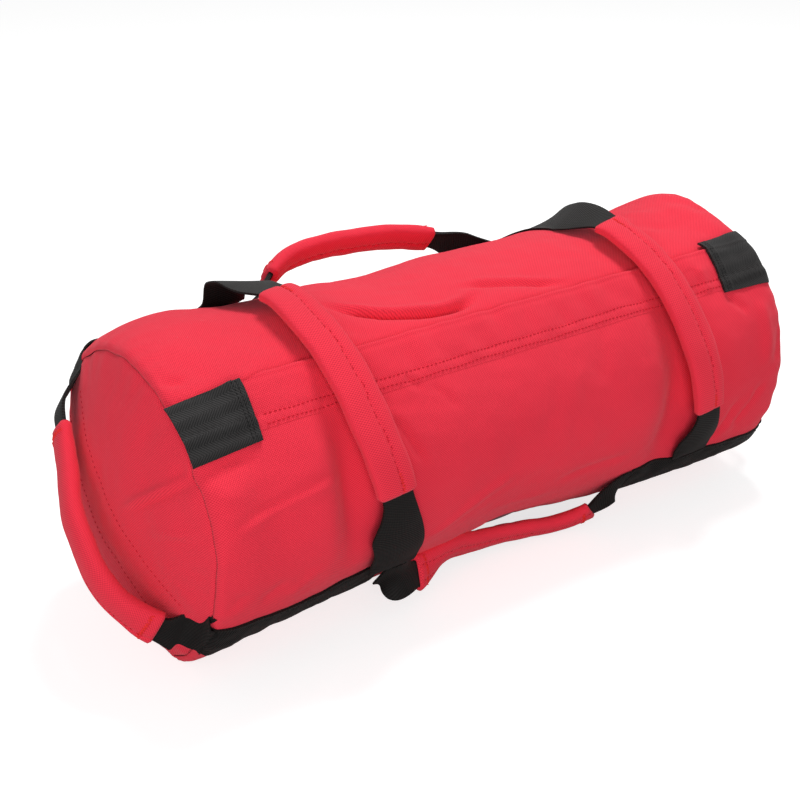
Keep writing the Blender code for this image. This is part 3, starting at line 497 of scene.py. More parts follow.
def node(tree, kind, links=(), **settings):
    """A node with its settings; links are (input, what feeds it), where what is a socket or a value."""
    made = tree.nodes.new("ShaderNode" + kind)
    for key, value in settings.items():
        setattr(made, key, value)
    for key, source in links:
        if isinstance(source, bpy.types.NodeSocket):
            tree.links.new(source, made.inputs[key])
        else:
            made.inputs[key].default_value = source
    return made


def surface(name, roughness, sheen=0.0, sheen_tint="#FFFFFF", metallic=0.0, gloss=0.5):
    """A new material with its Principled shader; gloss is its specular level."""
    made = bpy.data.materials.new(name)
    made.use_nodes = True
    tree = made.node_tree
    shader = tree.nodes["Principled BSDF"]
    for key, value in (("Roughness", roughness), ("Sheen Weight", sheen), ("Sheen Roughness", 0.5),
                       ("Sheen Tint", linear(sheen_tint)), ("Metallic", metallic),
                       ("Specular IOR Level", gloss)):
        shader.inputs[key].default_value = value
    return made, tree, shader


def sine(tree, feed, period, shift=0.0):
    """sin(2 pi * feed / period + shift)."""
    scaled = node(tree, "Math", [(0, feed), (1, TURN / period), (2, shift)], operation="MULTIPLY_ADD")
    return node(tree, "Math", [(0, scaled.outputs[0])], operation="SINE").outputs[0]


def cloth_place(tree):
    """The cloth's own place, along and across, in metres."""
    uv = node(tree, "UVMap", uv_map="cloth")
    parts = node(tree, "SeparateXYZ", [(0, uv.outputs[0])])
    return parts.outputs[0], parts.outputs[1]


def canvas(name, colour, pit_shade, period=0.0017):
    """Plain-woven polyester canvas.  The real threads lie 0.6 mm apart, too fine to show here, so the
    weave is drawn 1.7 mm from cell to cell.  Its rows of small pits are painted shade in a darker copy
    of the colour, and it has a soft, pink sheen."""
    made, tree, shader = surface(name, 0.85, 0.22, "#FFA8B2", gloss=0.15)
    u, v = cloth_place(tree)
    weave = node(tree, "Math", [(0, sine(tree, u, period)), (1, sine(tree, v, period))],
                 operation="MULTIPLY").outputs[0]
    fine = node(tree, "TexNoise", [("Scale", 900.0), ("Detail", 2.0)])
    place = node(tree, "TexCoord").outputs["Object"]
    tree.links.new(place, fine.inputs["Vector"])
    broad = node(tree, "TexNoise", [("Vector", place), ("Scale", 9.0), ("Detail", 3.0)])
    level = node(tree, "MapRange", [(0, weave), (1, -1.0), (2, 0.6), (3, 0.0), (4, 1.0)])
    # painted shade: the weave's pits take the darker copy of the colour, standing in for shade between
    # the threads
    mixed = node(tree, "Mix", [(0, level.outputs[0]), (6, linear(pit_shade)), (7, linear(colour))],
                 data_type="RGBA")
    value = node(tree, "MapRange", [(0, broad.outputs[0]), (1, 0.3), (2, 0.7), (3, 0.95), (4, 1.05)])
    toned = node(tree, "HueSaturation", [("Value", value.outputs[0]), ("Color", mixed.outputs[2])])
    tree.links.new(toned.outputs[0], shader.inputs["Base Color"])
    height = node(tree, "Math", [(0, weave), (1, 0.8), (2, fine.outputs[0])], operation="MULTIPLY_ADD")
    bump = node(tree, "Bump", [("Strength", 0.28), ("Distance", 0.00045), ("Height", height.outputs[0])])
    tree.links.new(bump.outputs[0], shader.inputs["Normal"])
    return made


# Webbing's cross ribs as drawn
RIB = 0.0020


def webbing(name, colour, painted_sheen, herringbone=False):
    """Flat-woven polyester webbing.  Cross ribs 1.1 mm apart, drawn at 2 mm, with their grey sheen
    painted into the colour as a lighter tone.  The tabs' webbing runs its twill in bands that turn, so
    the painted sheen shows as chevrons, and two of the bands are painted lighter as sheen."""
    made, tree, shader = surface(name, 0.60, 0.04, "#B8B4B0", gloss=0.12)
    u, v = cloth_place(tree)
    turned, lean, band, shift, weight = v, 0.35, 0.0024, 0.0, 0.3
    if herringbone:
        lean, band, shift, weight = 1.0, 0.0120, 2.2, 0.4
        turned = node(tree, "Math", [(0, v), (1, band / 2)], operation="PINGPONG").outputs[0]
    slant = node(tree, "Math", [(0, turned), (1, lean), (2, u)], operation="MULTIPLY_ADD")
    weave = sine(tree, slant.outputs[0], RIB)
    across = sine(tree, v, band, shift)
    both = node(tree, "Math", [(0, across), (1, weight), (2, weave)],
                operation="MULTIPLY_ADD").outputs[0]
    level = node(tree, "MapRange", [(0, both), (1, -1.3), (2, 1.3), (3, 0.0), (4, 1.0)])
    # painted sheen: the lighter tone on the ribs and bands stands in for the webbing's grey sheen
    mixed = node(tree, "Mix", [(0, level.outputs[0]), (6, linear(colour)), (7, linear(painted_sheen))],
                 data_type="RGBA")
    tree.links.new(mixed.outputs[2], shader.inputs["Base Color"])
    bump = node(tree, "Bump", [("Strength", 0.35), ("Distance", 0.0004), ("Height", both)])
    tree.links.new(bump.outputs[0], shader.inputs["Normal"])
    return made


def thread(name, colour):
    """Twisted polyester sewing thread: a little glossier than the canvas, with a fine twist."""
    made, tree, shader = surface(name, 0.6, gloss=0.15)
    place = node(tree, "TexCoord").outputs["Object"]
    noise = node(tree, "TexNoise", [("Vector", place), ("Scale", 1500.0)])
    level = node(tree, "MapRange", [(0, noise.outputs[0]), (3, 0.85), (4, 1.1)])
    toned = node(tree, "HueSaturation", [("Value", level.outputs[0]), ("Color", linear(colour))])
    tree.links.new(toned.outputs[0], shader.inputs["Base Color"])
    return made


def plain(name, colour, roughness, metallic=0.0, grain=700.0, depth=0.0002):
    """Moulded plastic or plated metal: even colour with a fine grain in its roughness and bump."""
    made, tree, shader = surface(name, roughness, metallic=metallic)
    place = node(tree, "TexCoord").outputs["Object"]
    noise = node(tree, "TexNoise", [("Vector", place), ("Scale", grain), ("Detail", 4.0)])
    level = node(tree, "MapRange", [(0, noise.outputs[0]), (3, roughness - 0.08), (4, roughness + 0.08)])
    tree.links.new(level.outputs[0], shader.inputs["Roughness"])
    tint = node(tree, "MapRange", [(0, noise.outputs[0]), (3, 0.9), (4, 1.1)])
    toned = node(tree, "HueSaturation", [("Value", tint.outputs[0]), ("Color", linear(colour))])
    tree.links.new(toned.outputs[0], shader.inputs["Base Color"])
    bump = node(tree, "Bump", [("Strength", 0.2), ("Distance", depth), ("Height", noise.outputs[0])])
    tree.links.new(bump.outputs[0], shader.inputs["Normal"])
    return made


# the second colour of each canvas is painted shade for its weave's pits
RED = canvas("red_canvas_polyester", "#F63A4D", "#CB1D34")
# the second colour of each webbing is its painted sheen, a lighter tone on the ribs and bands
BLACK = webbing("black_webbing_polyester", "#0E0C0C", "#1A1817")
TAB = webbing("black_tab_webbing", "#141414", "#353333", herringbone=True)
RED_THREAD = thread("red_sewing_thread", "#C4182C")
TACK_THREAD = thread("bright_red_tack_thread", "#E4302C")
BLACK_THREAD = thread("black_sewing_thread", "#0C0C0C")
TEETH = plain("black_acetal_teeth", "#161617", 0.4)
ZINC = plain("gunmetal_zinc_casting", "#6A6A6C", 0.35, 1.0)
POUCH = canvas("grey_pouch_oxford", "#3A3B3D", "#242526")
LOOPS = canvas("black_loop_pile", "#121213", "#070708", 0.0011)
TAPE = webbing("black_zip_tape", "#151515", "#2A2A2A")


# Barrel and ends

def make_barrel():
    """The barrel's canvas: the skin on a grid of 3 mm, and 2 mm round the front and the top, open along
    the zip's slot, and CLOTH thick inwards.  Near the seams the grid is 1 mm."""
    half_slot = math.degrees(SLOT_WIDTH / RADIUS) / 2
    angles = np.concatenate([np.linspace(SLOT_ANGLE + half_slot, 118.0, 78),
                             np.linspace(118.0, 340.0, 112)[1:],
                             np.linspace(340.0, SLOT_ANGLE - half_slot + 360.0, 58)[1:]])
    end = HALF - SEWN_GAP
    strip = 0.006
    half_long = SLOT_LENGTH / 2
    x = np.unique(np.concatenate([np.linspace(-end, -end + strip, 7),
                                  np.linspace(-end + strip, end - strip, 172),
                                  np.linspace(end - strip, end, 7), [-half_long, half_long]]))
    holes = np.zeros((len(x) - 1, len(angles)), bool)
    holes[:, -1] = (x[:-1] >= -half_long - 1e-6) & (x[1:] <= half_long + 1e-6)
    top = skin(x[:, None], angles[None])
    bottom = skin(x[:, None], angles[None], -CLOTH)
    wide = np.concatenate([angles, [angles[0] + 360.0]])
    uv = cloth_map(x[:, None], np.radians(wide)[None] * RADIUS)
    item = face_out(slab("barrel_canvas", top, bottom, uv, wrap=True, holes=holes))
    finish(item, "bag", RED, "red_canvas", "body_panel")


# Folds on the left end panel: path of (mm from the middle, degrees), width, depth and tilt in mm
END_FOLDS = (
    (((104, 57.5), (90, 58), (62, 59), (40, 62), (22, 67)), 3.4, 1.8, 3.4),
    (((104, 77), (89, 79), (72, 80), (50, 84)), 4.0, 1.2, 2.2),
    (((103, 54), (96, 53), (86, 51)), 5.0, -3.2, 0.0),
    (((103, 64), (97, 66), (86, 68)), 6.0, 2.4, 0.0),
    (((104, 98), (98, 100), (90, 100)), 6.0, -1.6, 0.0),
    (((104, -40), (84, -30), (60, -20)), 8.0, 0.9, 0.0),
    (((104, -5), (86, 2), (66, 10)), 9.0, -0.8, 0.0),
    (((104, 30), (86, 32), (66, 36)), 8.0, -0.7, 0.0),
    (((103, 118), (88, 112), (64, 104)), 7.0, 1.2, 0.4),
    (((103, 140), (84, 146), (60, 160)), 7.0, -1.1, 0.0),
    (((103, -110), (84, -118), (60, -126)), 7.0, 1.2, 0.4),
    (((103, -75), (84, -80), (56, -88)), 7.0, -1.1, 0.0),
    (((103, 175), (84, 180), (56, 190)), 8.0, 1.1, 0.3),
)


def end_point(side, distance, turn, lift=0.0):
    """Point on an end panel: a low dome with folds, and gathers that fade from its seam."""
    distance, turn, lift = np.broadcast_arrays(*(np.asarray(v, float) for v in (distance, turn, lift)))
    turn = (turn + 180.0) % 360.0 - 180.0
    rim = skin_radius(np.full(turn.shape, side * HALF), turn)
    share = np.clip(distance / SEAM_RADIUS, 0.0, 1.0)
    radius = distance + (rim - SEAM_RADIUS) * share ** 4
    bulge = DOME * (1.0 - share ** 2)
    u, v = distance / MM * np.cos(np.radians(turn)), distance / MM * np.sin(np.radians(turn))
    rise = 0.5 * ripple(u, v, 31 + side, 70.0) + 0.2 * ripple(u, v, 41 + side, 30.0)
    for path, width, depth, tilt in END_FOLDS:
        # the right end has the left one's folds, mirrored
        line = [(a * math.cos(math.radians(-side * b)), a * math.sin(math.radians(-side * b)))
                for a, b in path]
        rise = rise + fold(u, v, line, width, depth, tilt, (0.03, 0.65))
    gather = gathers(turn, 37, 1.7, 4, 6, side)
    rise = rise * (1 - share ** 8) + 0.6 * gather * share ** 6 * (1 - share ** 24)
    roll = np.clip(1.0 - (SEAM_RADIUS - distance) / ROLL, 0.0, 1.0)
    point = radius[..., None] * outward(turn)
    point[..., 0] = side * (HALF + bulge + rise * MM + lift - 0.0008 * roll ** 2)
    point = point + MIDDLE
    point[..., 2] = np.maximum(point[..., 2], FLOOR_GAP)
    return point


def make_end(side, word):
    """An end panel on a polar grid, 300 points round; its last ring is one point, welded."""
    turns = np.linspace(0.0, 360.0, 300, endpoint=False)[::-side]
    places = np.concatenate([np.linspace(SEAM_RADIUS, SEAM_RADIUS - 0.006, 6),
                             np.linspace(SEAM_RADIUS - 0.009, 0.004, 36)])[:, None]
    wide = np.radians(np.concatenate([turns, [turns[-1] - side * 360.0 / 300]]))[None]
    uv = np.stack([places * np.cos(wide), places * np.sin(wide)], -1)
    uv = np.concatenate([uv, np.zeros((1, uv.shape[1], 2))])
    top, bottom = (np.concatenate([end_point(side, places, turns[None], lift),
                                   np.tile(end_point(side, 0.0, 0.0, lift), (1, len(turns), 1))])
                   for lift in (0.0, -CLOTH))
    item = weld(slab("end_canvas_" + word, top, bottom, uv, wrap=True), 1e-7)
    finish(item, "bag", RED, "red_canvas", "end_panel_" + word)


def make_binding(side, word):
    """Binding tape over the raw seam, inside: a ring, 10 mm wide, under the canvas."""
    x = side * np.linspace(HALF - 0.0188, HALF - 0.0088, 6)[::side, None]
    angles = np.linspace(0.0, 360.0, 220, endpoint=False)[None]
    top, bottom = (skin(x, angles, -(CLOTH + depth)) for depth in (SEWN_GAP, 0.0016))
    uv = cloth_map(x, np.radians(np.linspace(0.0, 360.0, 221))[None] * SEAM_RADIUS)
    item = face_out(slab("binding_tape_" + word, top, bottom, uv, wrap=True))
    finish(item, "bag", TAPE, "black_webbing", "seam_binding_" + word)


def end_rows(side, word):
    """Two rows of stitches that hold the webbing inside an end panel, along the handle."""
    s = np.arange(-0.082, 0.084, 0.0040)
    rows = []
    for off in (-END_ROW, END_ROW):
        here, ahead = (end_point(side, np.hypot(s + d, off),
                                 FRONT_ANGLE + np.degrees(np.arctan2(off, s + d)), 0.00025)
                       for d in (0.0, MM))
        run = unit(ahead - here)
        out = side * X_AXIS
        rows.append((here, run, unit(out - (out * run).sum(-1, keepdims=True) * run)))
    sew("end_stitches_" + word, rows, "bag", RED_THREAD, "red_canvas", length=0.0019, width=0.0005)


# Flap, tabs and straps

def flap_lift(x, angle):
    """Top of the flap above the canvas: from its free upper hem up over the zip, then down to a sewn
    foot.  Gives the top's height and the cloth's thickness."""
    share = np.clip((angle - FLAP_TOP) / (FLAP_FOOT - FLAP_TOP), 0.0, 1.0)
    over_zip = step(0.0, 0.016, SLOT_LENGTH / 2 + 0.016 - np.abs(x))
    high = 0.0021 + over_zip * (0.0016 + 0.0012 * step(0.0, 0.22, share))
    hem = 0.0013 * (1 - step(0.10, 0.16, share))
    thick = FLAP_CLOTH * (1 - step(0.80, 1.0, share)) + 0.00015
    wave = 0.00045 * ripple(x / MM, angle * 2.0, 17, 34.0)
    wave = wave * (1 - step(0.7, 0.9, share)) * (0.3 + 0.7 * over_zip)
    pinch = 0.0
    for number, row in enumerate(STITCH_ROWS):
        beat = 0.55 + 0.45 * np.sin(x / 0.0009 + number * 2.0 + 3 * np.sin(x / 0.021))
        pinch = pinch - 0.0006 * bell((angle - row) * 2.0, 1.3) * beat
    drop = 1 - step(0.12, 1.0, share)
    edge = 0.0008 * bell(share - 0.045, 0.035)
    slider = 0.0020 * bell(x - SLIDER_PLACE, 0.014) * bell(angle - SLIDER_ANGLE, 4.0)
    lift = FLAP_CLOTH + (high - FLAP_CLOTH) * drop + wave + edge + slider
    lift = np.where(share > 0.9, lift + (thick - FLAP_CLOTH) * step(0.9, 1.0, share), lift)
    return np.maximum(lift + pinch, 0.0003), thick + hem


def make_flap():
    """The zip's flap, and its rows of stitches."""
    end = HALF - END_GAP
    x = np.linspace(-end, end, 520)[:, None]
    # under the left tab the upper edge lies 1.2 degrees lower
    top_edge = FLAP_TOP + 1.2 * (1 - step(-0.214, -0.198, x))
    angles = top_edge + (FLAP_FOOT - top_edge) * np.linspace(0.0, 1.0, 40)[None]
    lift, thick = flap_lift(x, angles)
    top = skin(x, angles, lift)
    bottom = skin(x, angles, np.maximum(lift - thick, -0.0006))
    uv = cloth_map(x, np.radians(angles) * RADIUS)
    item = soften(face_out(slab("zip_flap_canvas", top, bottom, uv)))
    finish(item, "bag", RED, "red_canvas", "zip_flap")
    places = np.arange(-HALF + 0.054, HALF - 0.058, 0.0034)
    rows = []
    for row in STITCH_ROWS:
        turn = row + 0.25 * np.sin(places / 0.017) + 0.12 * np.sin(places / 0.0061 + row)
        here = skin(places, turn, flap_lift(places, turn)[0] + 0.00015)
        ahead = skin(places + MM, turn + 0.03 * np.sin(places / 0.004),
                     flap_lift(places + MM, turn)[0] + 0.00015)
        rows.append((here, unit(ahead - here), outward(turn)))
    sew("flap_stitches", rows, "bag", RED_THREAD, "red_canvas", length=0.0024, width=0.0008)


def make_tab(side, word):
    """Webbing tab over an end of the flap, its inner edge turned under and sewn twice."""
    (outer_up, outer_low), inner, (upper, lower), (upper_in, lower_in) = TABS[word]
    across = np.linspace(0.0, 1.0, 44)[None]
    share = np.linspace(1.0, 0.0, 56)[:, None]
    seam = outer_up + (outer_low - outer_up) * across
    x = seam + (inner - seam) * share
    reach = abs(inner - outer_low)
    up, low = upper + (upper_in - upper) * share, lower + (lower_in - lower) * share
    angles = up + (low - up) * across
    # it climbs from the canvas to the flap's upper edge, lies on the flap, and drops at its foot
    crest = FLAP_TOP + 0.3
    climb = np.clip((angles - angles[:, :1]) / np.maximum(crest - angles[:, :1], 0.1), 0.0, 1.0)
    before = WEB_THICKNESS + (flap_lift(x, crest)[0] - WEB_THICKNESS) * climb
    under = np.where(angles < crest, before, flap_lift(x, angles)[0])
    under = under * (1 - step(FLAP_FOOT - 1.0, FLAP_FOOT + 0.5, angles)) + 0.0003
    # the webbing is stiffer than the canvas: near the seam it bridges the rounded shoulder
    bridged = 0.019
    far_in = skin_radius(seam - side * bridged, angles)
    edge_out = skin_radius(np.full(angles.shape, side * (HALF - 0.004)), angles) + 0.0012
    run_in = np.clip(np.abs(seam - x) / bridged, 0.0, 1.0)
    bridge = edge_out + (far_in - edge_out) * (1 - (1 - run_in) ** 1.7)
    under = under + np.maximum(bridge - skin_radius(x, angles), 0.0) * (1 - step(0.8, 1.0, run_in))
    turned = 0.0009 * step(0.80, 0.86, share)
    pinch = sum(0.0006 * bell((share - place) * reach / MM, 0.8) for place in TAB_ROWS)
    rim = 0.0004 * bell(across * 44, 1.6) + 0.0004 * bell((1 - across) * 44, 1.6)
    lift = under + 0.0015 + turned - pinch - rim + 0.00015 * ripple(x / MM, angles * 2, 23, 30.0)
    top = skin(x, angles, lift)
    bottom = skin(x, angles, np.minimum(under + 0.0002, lift - 0.0008))
    uv = cloth_map(x, np.radians(angles - angles[:, :1]) * RADIUS)
    item = soften(face_out(slab("webbing_tab_" + word, top, bottom, uv)))
    finish(item, "bag", TAB, "black_webbing", "flap_tab_" + word)
    rows = []
    for place in TAB_ROWS:
        near = np.abs(share[:, 0] - place).argmin()
        turn = np.arange(angles[near, 0] + 1.0, angles[near, -1] - 0.8, 1.25)
        lifted = np.interp(turn, angles[near], lift[near]) + 0.0001
        at = skin(np.interp(turn, angles[near], x[near]), turn, lifted)
        run = unit(outward(turn + 90.0))
        out = unit(np.cross(X_AXIS, run))
        rows.append((at, run, out * np.sign((out * (at - MIDDLE)).sum(-1))[:, None]))
    sew("tab_stitches_" + word, rows, "bag", BLACK_THREAD, "black_webbing", length=0.0017)


def strap_drop(middle, x):
    """Angle by which the front webbing lies higher towards its left end; the back one runs level."""
    return 3.0 * (1 - step(-0.262, -0.185, x)) if middle > 0 else np.zeros_like(x)


def make_strap(name, middle, low, high, seed):
    """Lengthwise webbing sewn to the barrel: wavy edges, a stitch row along each."""
    x = np.linspace(low, high, max(24, int((high - low) / 0.0022)))[:, None]
    share = np.linspace(-1.0, 1.0, 22)[None]
    half = math.degrees(WEB_WIDTH / RADIUS) / 2
    sway = 0.35 * np.sin(x / 0.019 + seed) + 0.25 * np.sin(x / 0.0083 + 2 * seed)
    angles = middle - strap_drop(middle, x) + half * share + sway * share * np.abs(share)
    pinch = 0.0005 * bell((np.abs(share) - STRAP_ROW) * 19, 1.2) * (0.7 + 0.3 * np.sin(x / 0.002))
    puff = 0.0006 * (1 - share ** 2) + 0.00025 * ripple(x / MM, share * 19, 50 + seed, 26.0)
    top = skin(x, angles, WEB_TOP - pinch + puff)
    bottom = skin(x, angles, 0.0002)
    uv = cloth_map(x, share * WEB_WIDTH / 2)
    item = soften(face_out(slab(name + "_webbing", top, bottom, uv)))
    finish(item, "bag", BLACK, "black_webbing", name)
    places = np.arange(low + 0.004, high - 0.004, 0.0044)
    rows = []
    for sign in (-1, 1):
        turn = middle - strap_drop(middle, places) + sign * STRAP_ROW * half
        rows.append((skin(places, turn, 0.00165), np.tile(X_AXIS, (len(places), 1)), outward(turn)))
    sew(name + "_stitches", rows, "bag", BLACK_THREAD, "black_webbing")


# Handles

# Points along each handle's path, and how many of them its webbing takes to open from its fold
PATH = 182
OPENING = 19.6
# Middle of the webbing on the barrel where it is sewn, and the least heights of its two faces
SEAT = SEWN_GAP + WEB_THICKNESS / 2
WEB_TOP, WEB_UNDER = 0.0019, 0.0003
# Between its stitched ends, a long handle runs from LONG_LOW to LONG_HIGH
LONG_MIDDLE, LONG_SPAN = -0.006, 0.237
LONG_LOW, LONG_HIGH = LONG_MIDDLE - LONG_SPAN / 2, LONG_MIDDLE + LONG_SPAN / 2
# Cross handles: distance from the bag's middle, the reach of their drift, and the gap to the straps
CROSS_PLACE, CROSS_DRIFT, CROSS_GAP = 0.147, 0.030, 0.0016
# End handles: reach from the bag's axis, and height over the seam
END_REACH, END_HEIGHT = 0.117, 0.050
# Width of a round sleeve, and the width and thickness of the webbing folded inside it
GRIP_WIDTH, FOLDED = 0.027, (0.019, 0.0034)
# Width and thickness of a flat sleeve and of its folded webbing, and the place of its outer sewn row
# as a share of the half width
FLAT_GRIP, FLAT_FOLDED = (0.030, 0.0098), (0.0235, 0.0022)
FLAT_ROW = -0.22
# How far a sleeve's bore is larger than its webbing, and the length over which its mouth closes in
BORE_PLAY, LIP = 0.0010, 0.0018


def keep_off(points, lift):
    """Points pushed straight out to a lift above the canvas wherever they lie lower than that."""
    rel = points - MIDDLE
    reach = np.hypot(rel[..., 1], rel[..., 2])
    angle = np.degrees(np.arctan2(-rel[..., 1], rel[..., 2]))
    need = skin_radius(np.clip(rel[..., 0], -HALF, HALF), angle) + lift
    grow = np.where(np.abs(rel[..., 0]) < HALF, np.maximum(need / reach, 1.0), 1.0)
    rel = rel * np.stack([np.ones_like(grow), grow, grow], -1)
    out = rel + MIDDLE
    out[..., 2] = np.maximum(out[..., 2], lift)
    return out


def ribbon(name, centre, side, face, widths, thicknesses, curl, replaced):
    """Webbing along a path: flat across, its edges thinner; curl lifts its edges."""
    share = np.linspace(-1.0, 1.0, 15)[None]
    wide = widths[:, None] / 2
    thick = thicknesses[:, None] * (1 - 0.25 * share ** 8)
    lift = curl * share ** 2
    mid = centre[:, None] + (wide * share)[..., None] * side[:, None] + lift[..., None] * face[:, None]
    half = (thick / 2)[..., None] * face[:, None]
    uv = cloth_map(lengths(centre)[:, None], share * WEB_WIDTH / 2)
    top, bottom = keep_off(mid + half, WEB_TOP), keep_off(mid - half, WEB_UNDER)
    item = soften(face_out(slab(name, top, bottom, uv)))
    return finish(item, None, BLACK, "black_webbing", replaced)


def superellipse(count, power):
    """Unit outline |a|^power + |b|^power = 1, evenly spaced in angle."""
    turn = np.linspace(0.0, TURN, count, endpoint=False)
    c, s = np.cos(turn), np.sin(turn)
    scale = (np.abs(c) ** power + np.abs(s) ** power) ** (-1.0 / power)
    return np.stack([c * scale, s * scale], -1), turn


def make_sleeve(body, centre, side, face, size, bore, rows, seed, power, lane):
    """Padded sleeve: a tube of canvas round foam with sewn rows along it, thinner at its stitched ends.
    rows are (which face, place across as a share of the half width)."""
    count = 72
    outline, turn = superellipse(count, power)
    place = np.linspace(-1.0, 1.0, len(centre))
    far = lengths(centre)[:, None]
    total = far[-1, 0]
    full = (0.80 + 0.20 * (1.0 - np.abs(place) ** 8))[:, None]
    wave = 1.0 + 0.035 * ripple(far / MM, turn[None] * 8, seed, 34.0)
    half_wide, half_thick = size[0] / 2, size[1] / 2
    across = outline[None, :, 0] * half_wide * (0.97 + 0.03 * full) \
        * (1 + 0.012 * ripple(far / MM, turn[None], seed + 1, 40.0))
    up = outline[None, :, 1] * half_thick * full * wave
    pull = np.zeros((len(centre), count))
    for sign, at in rows:
        on_face = (np.sign(outline[:, 1]) == sign)[None]
        beat = 0.75 + 0.25 * np.sin(far / 0.0011)
        pull = pull + on_face * bell((across - at * half_wide) / MM, 1.5) * beat
    up = up - np.sign(up) * np.minimum(pull * 0.0014, np.abs(up) * 0.5)
    # short creases across the sleeve where it bends, deeper on its inner face
    crease = 0.5 + 0.5 * np.sin(far / 0.0042 + 2.2 * np.sin(far / 0.017 + seed))
    inner_face = step(0.2, -0.8, outline[None, :, 1])
    up = up * (1 - 0.05 * crease ** 3 * (0.35 + 0.65 * inner_face))
    # at both ends the tube closes in on its bore, on a quarter circle
    inner = np.tile(superellipse(count, 6.0)[0] * (np.array(bore) / 2), (len(centre), 1, 1))
    tip = np.clip(np.minimum(far, total - far) / LIP, 0.0, 1.0)
    mouth = 0.35 + 0.65 * np.sqrt(np.clip(1.0 - (1.0 - tip) ** 2, 0.0, 1.0))
    outer = inner + (np.stack([across, up], -1) - inner) * mouth[..., None]
    across, up = outer[..., 0], outer[..., 1]
    girth = (size[0] + size[1]) * 1.6
    uv = cloth_map(far, np.concatenate([turn, [TURN]])[None] / TURN * girth)
    item = face_out(sleeve_mesh(body + "_pad", centre, side, face, outer, inner, uv))
    soften(item, 60.0)
    finish(item, body, RED, "red_canvas", body + "_sleeve")
    along = unit(np.gradient(centre, axis=0))
    k = np.searchsorted(far[:, 0], np.arange(0.004, total - 0.004, 0.0042))
    sewn = []
    for sign, at in rows:
        off = np.where(np.sign(outline[:, 1]) == sign, np.abs(across[k] - at * half_wide), 9.0)
        best = off.argmin(axis=1)
        height = up[k, best, None] + sign * 0.0001
        sewn.append((centre[k] + across[k, best, None] * side[k] + height * face[k], along[k],
                     sign * face[k]))
    sew(body + "_pad_stitches", sewn, body, RED_THREAD, "red_canvas")
    tacks(body, centre, side, face, along, far[:, 0], across, up, outline, lane)


def tacks(body, centre, side, face, along, far, across, up, outline, lane):
    """Close zigzag stitches in a brighter thread at both ends of a sleeve: bar tacks across it, or on a
    flat sleeve the last 12 mm of the sewn row, at a share lane of its half width."""
    at, run, out = [], [], []
    for sign, end in ((1.0, 0.0), (-1.0, far[-1])):
        if lane is None:
            k = nearest(far, end + sign * 0.0085)
            reach = 0.86 * np.abs(across[k]).max()
            marks = [(k, place) for place in np.arange(-reach, reach, 0.0013)]
        else:
            place = lane * np.abs(across[len(far) // 2]).max()
            marks = [(nearest(far, end + sign * where), place)
                     for where in np.arange(0.003, 0.014, 0.0012)]
        for number, (k, place) in enumerate(marks):
            best = np.argmin(np.where(outline[:, 1] > 0, np.abs(across[k] - place), 9.0))
            tilt = 0.55 if number % 2 else -0.55
            first, second = (along[k], side[k]) if lane is None else (side[k], along[k])
            at.append(centre[k] + across[k, best] * side[k] + (up[k, best] + 0.0002) * face[k])
            run.append(unit(first + tilt * second))
            out.append(face[k])
    sew(body + "_pad_tacks", [(at, run, out)], body, TACK_THREAD, "red_canvas",
        length=0.0034 if lane is None else 0.0026, width=0.0008)


def make_handle(kind, word, centre, normal, runs, span, sizes, rows, seed, curl=0.0, widen=0.0,
                power=2.4, slide=0.0, twist=0.0, square=None, lane=None):
    """A handle: webbing on a path between its stitched ends, folded inside its padded sleeve.  Outside
    the sleeve the webbing may slide, widen and curl.  twist turns all of it about its path, in
    degrees, and square draws its width towards the bag's length, which shears it."""
    size, (fold_wide, fold_thick) = sizes
    body = f"{kind}_handle_{word}"
    side, face, along = path_frame(centre, normal, runs)
    if square is not None:
        side = unit(side + square[:, None] * (-X_AXIS - side))
        face = unit(np.cross(side, along))
    turned = (np.radians(twist) * np.ones(len(centre)))[:, None]
    cos, sin = np.cos(turned), np.sin(turned)
    side, face = side * cos + face * sin, face * cos - side * sin
    index = np.arange(len(centre))
    start, stop = span
    opened = step(0.0, OPENING, np.maximum(start - index, index - stop))
    widths = fold_wide + (WEB_WIDTH - fold_wide) * opened + widen * opened
    thick = fold_thick + (WEB_THICKNESS - fold_thick) * opened
    bend = (curl * opened)[:, None]
    moved = centre + slide * opened[:, None]
    # one piece of webbing for each stitched end, meeting inside the sleeve: each twists by itself
    half = len(centre) // 2
    for number, part, root, mouth in ((1, slice(0, half), 0, start), (2, slice(half, None), -1, stop)):
        web = ribbon(f"{body}_web_{number}", moved[part], side[part], face[part], widths[part],
                     thick[part], bend[part], body + "_webbing")
        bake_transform(web)
    inside = slice(start, stop + 1)
    bore = fold_wide + BORE_PLAY, fold_thick + BORE_PLAY
    make_sleeve(body, centre[inside], side[inside], face[inside], size, bore, rows, seed, power, lane)


def nearest(values, wanted):
    """Place in values of the one closest to what is wanted."""
    return int(np.argmin(np.abs(values - wanted)))


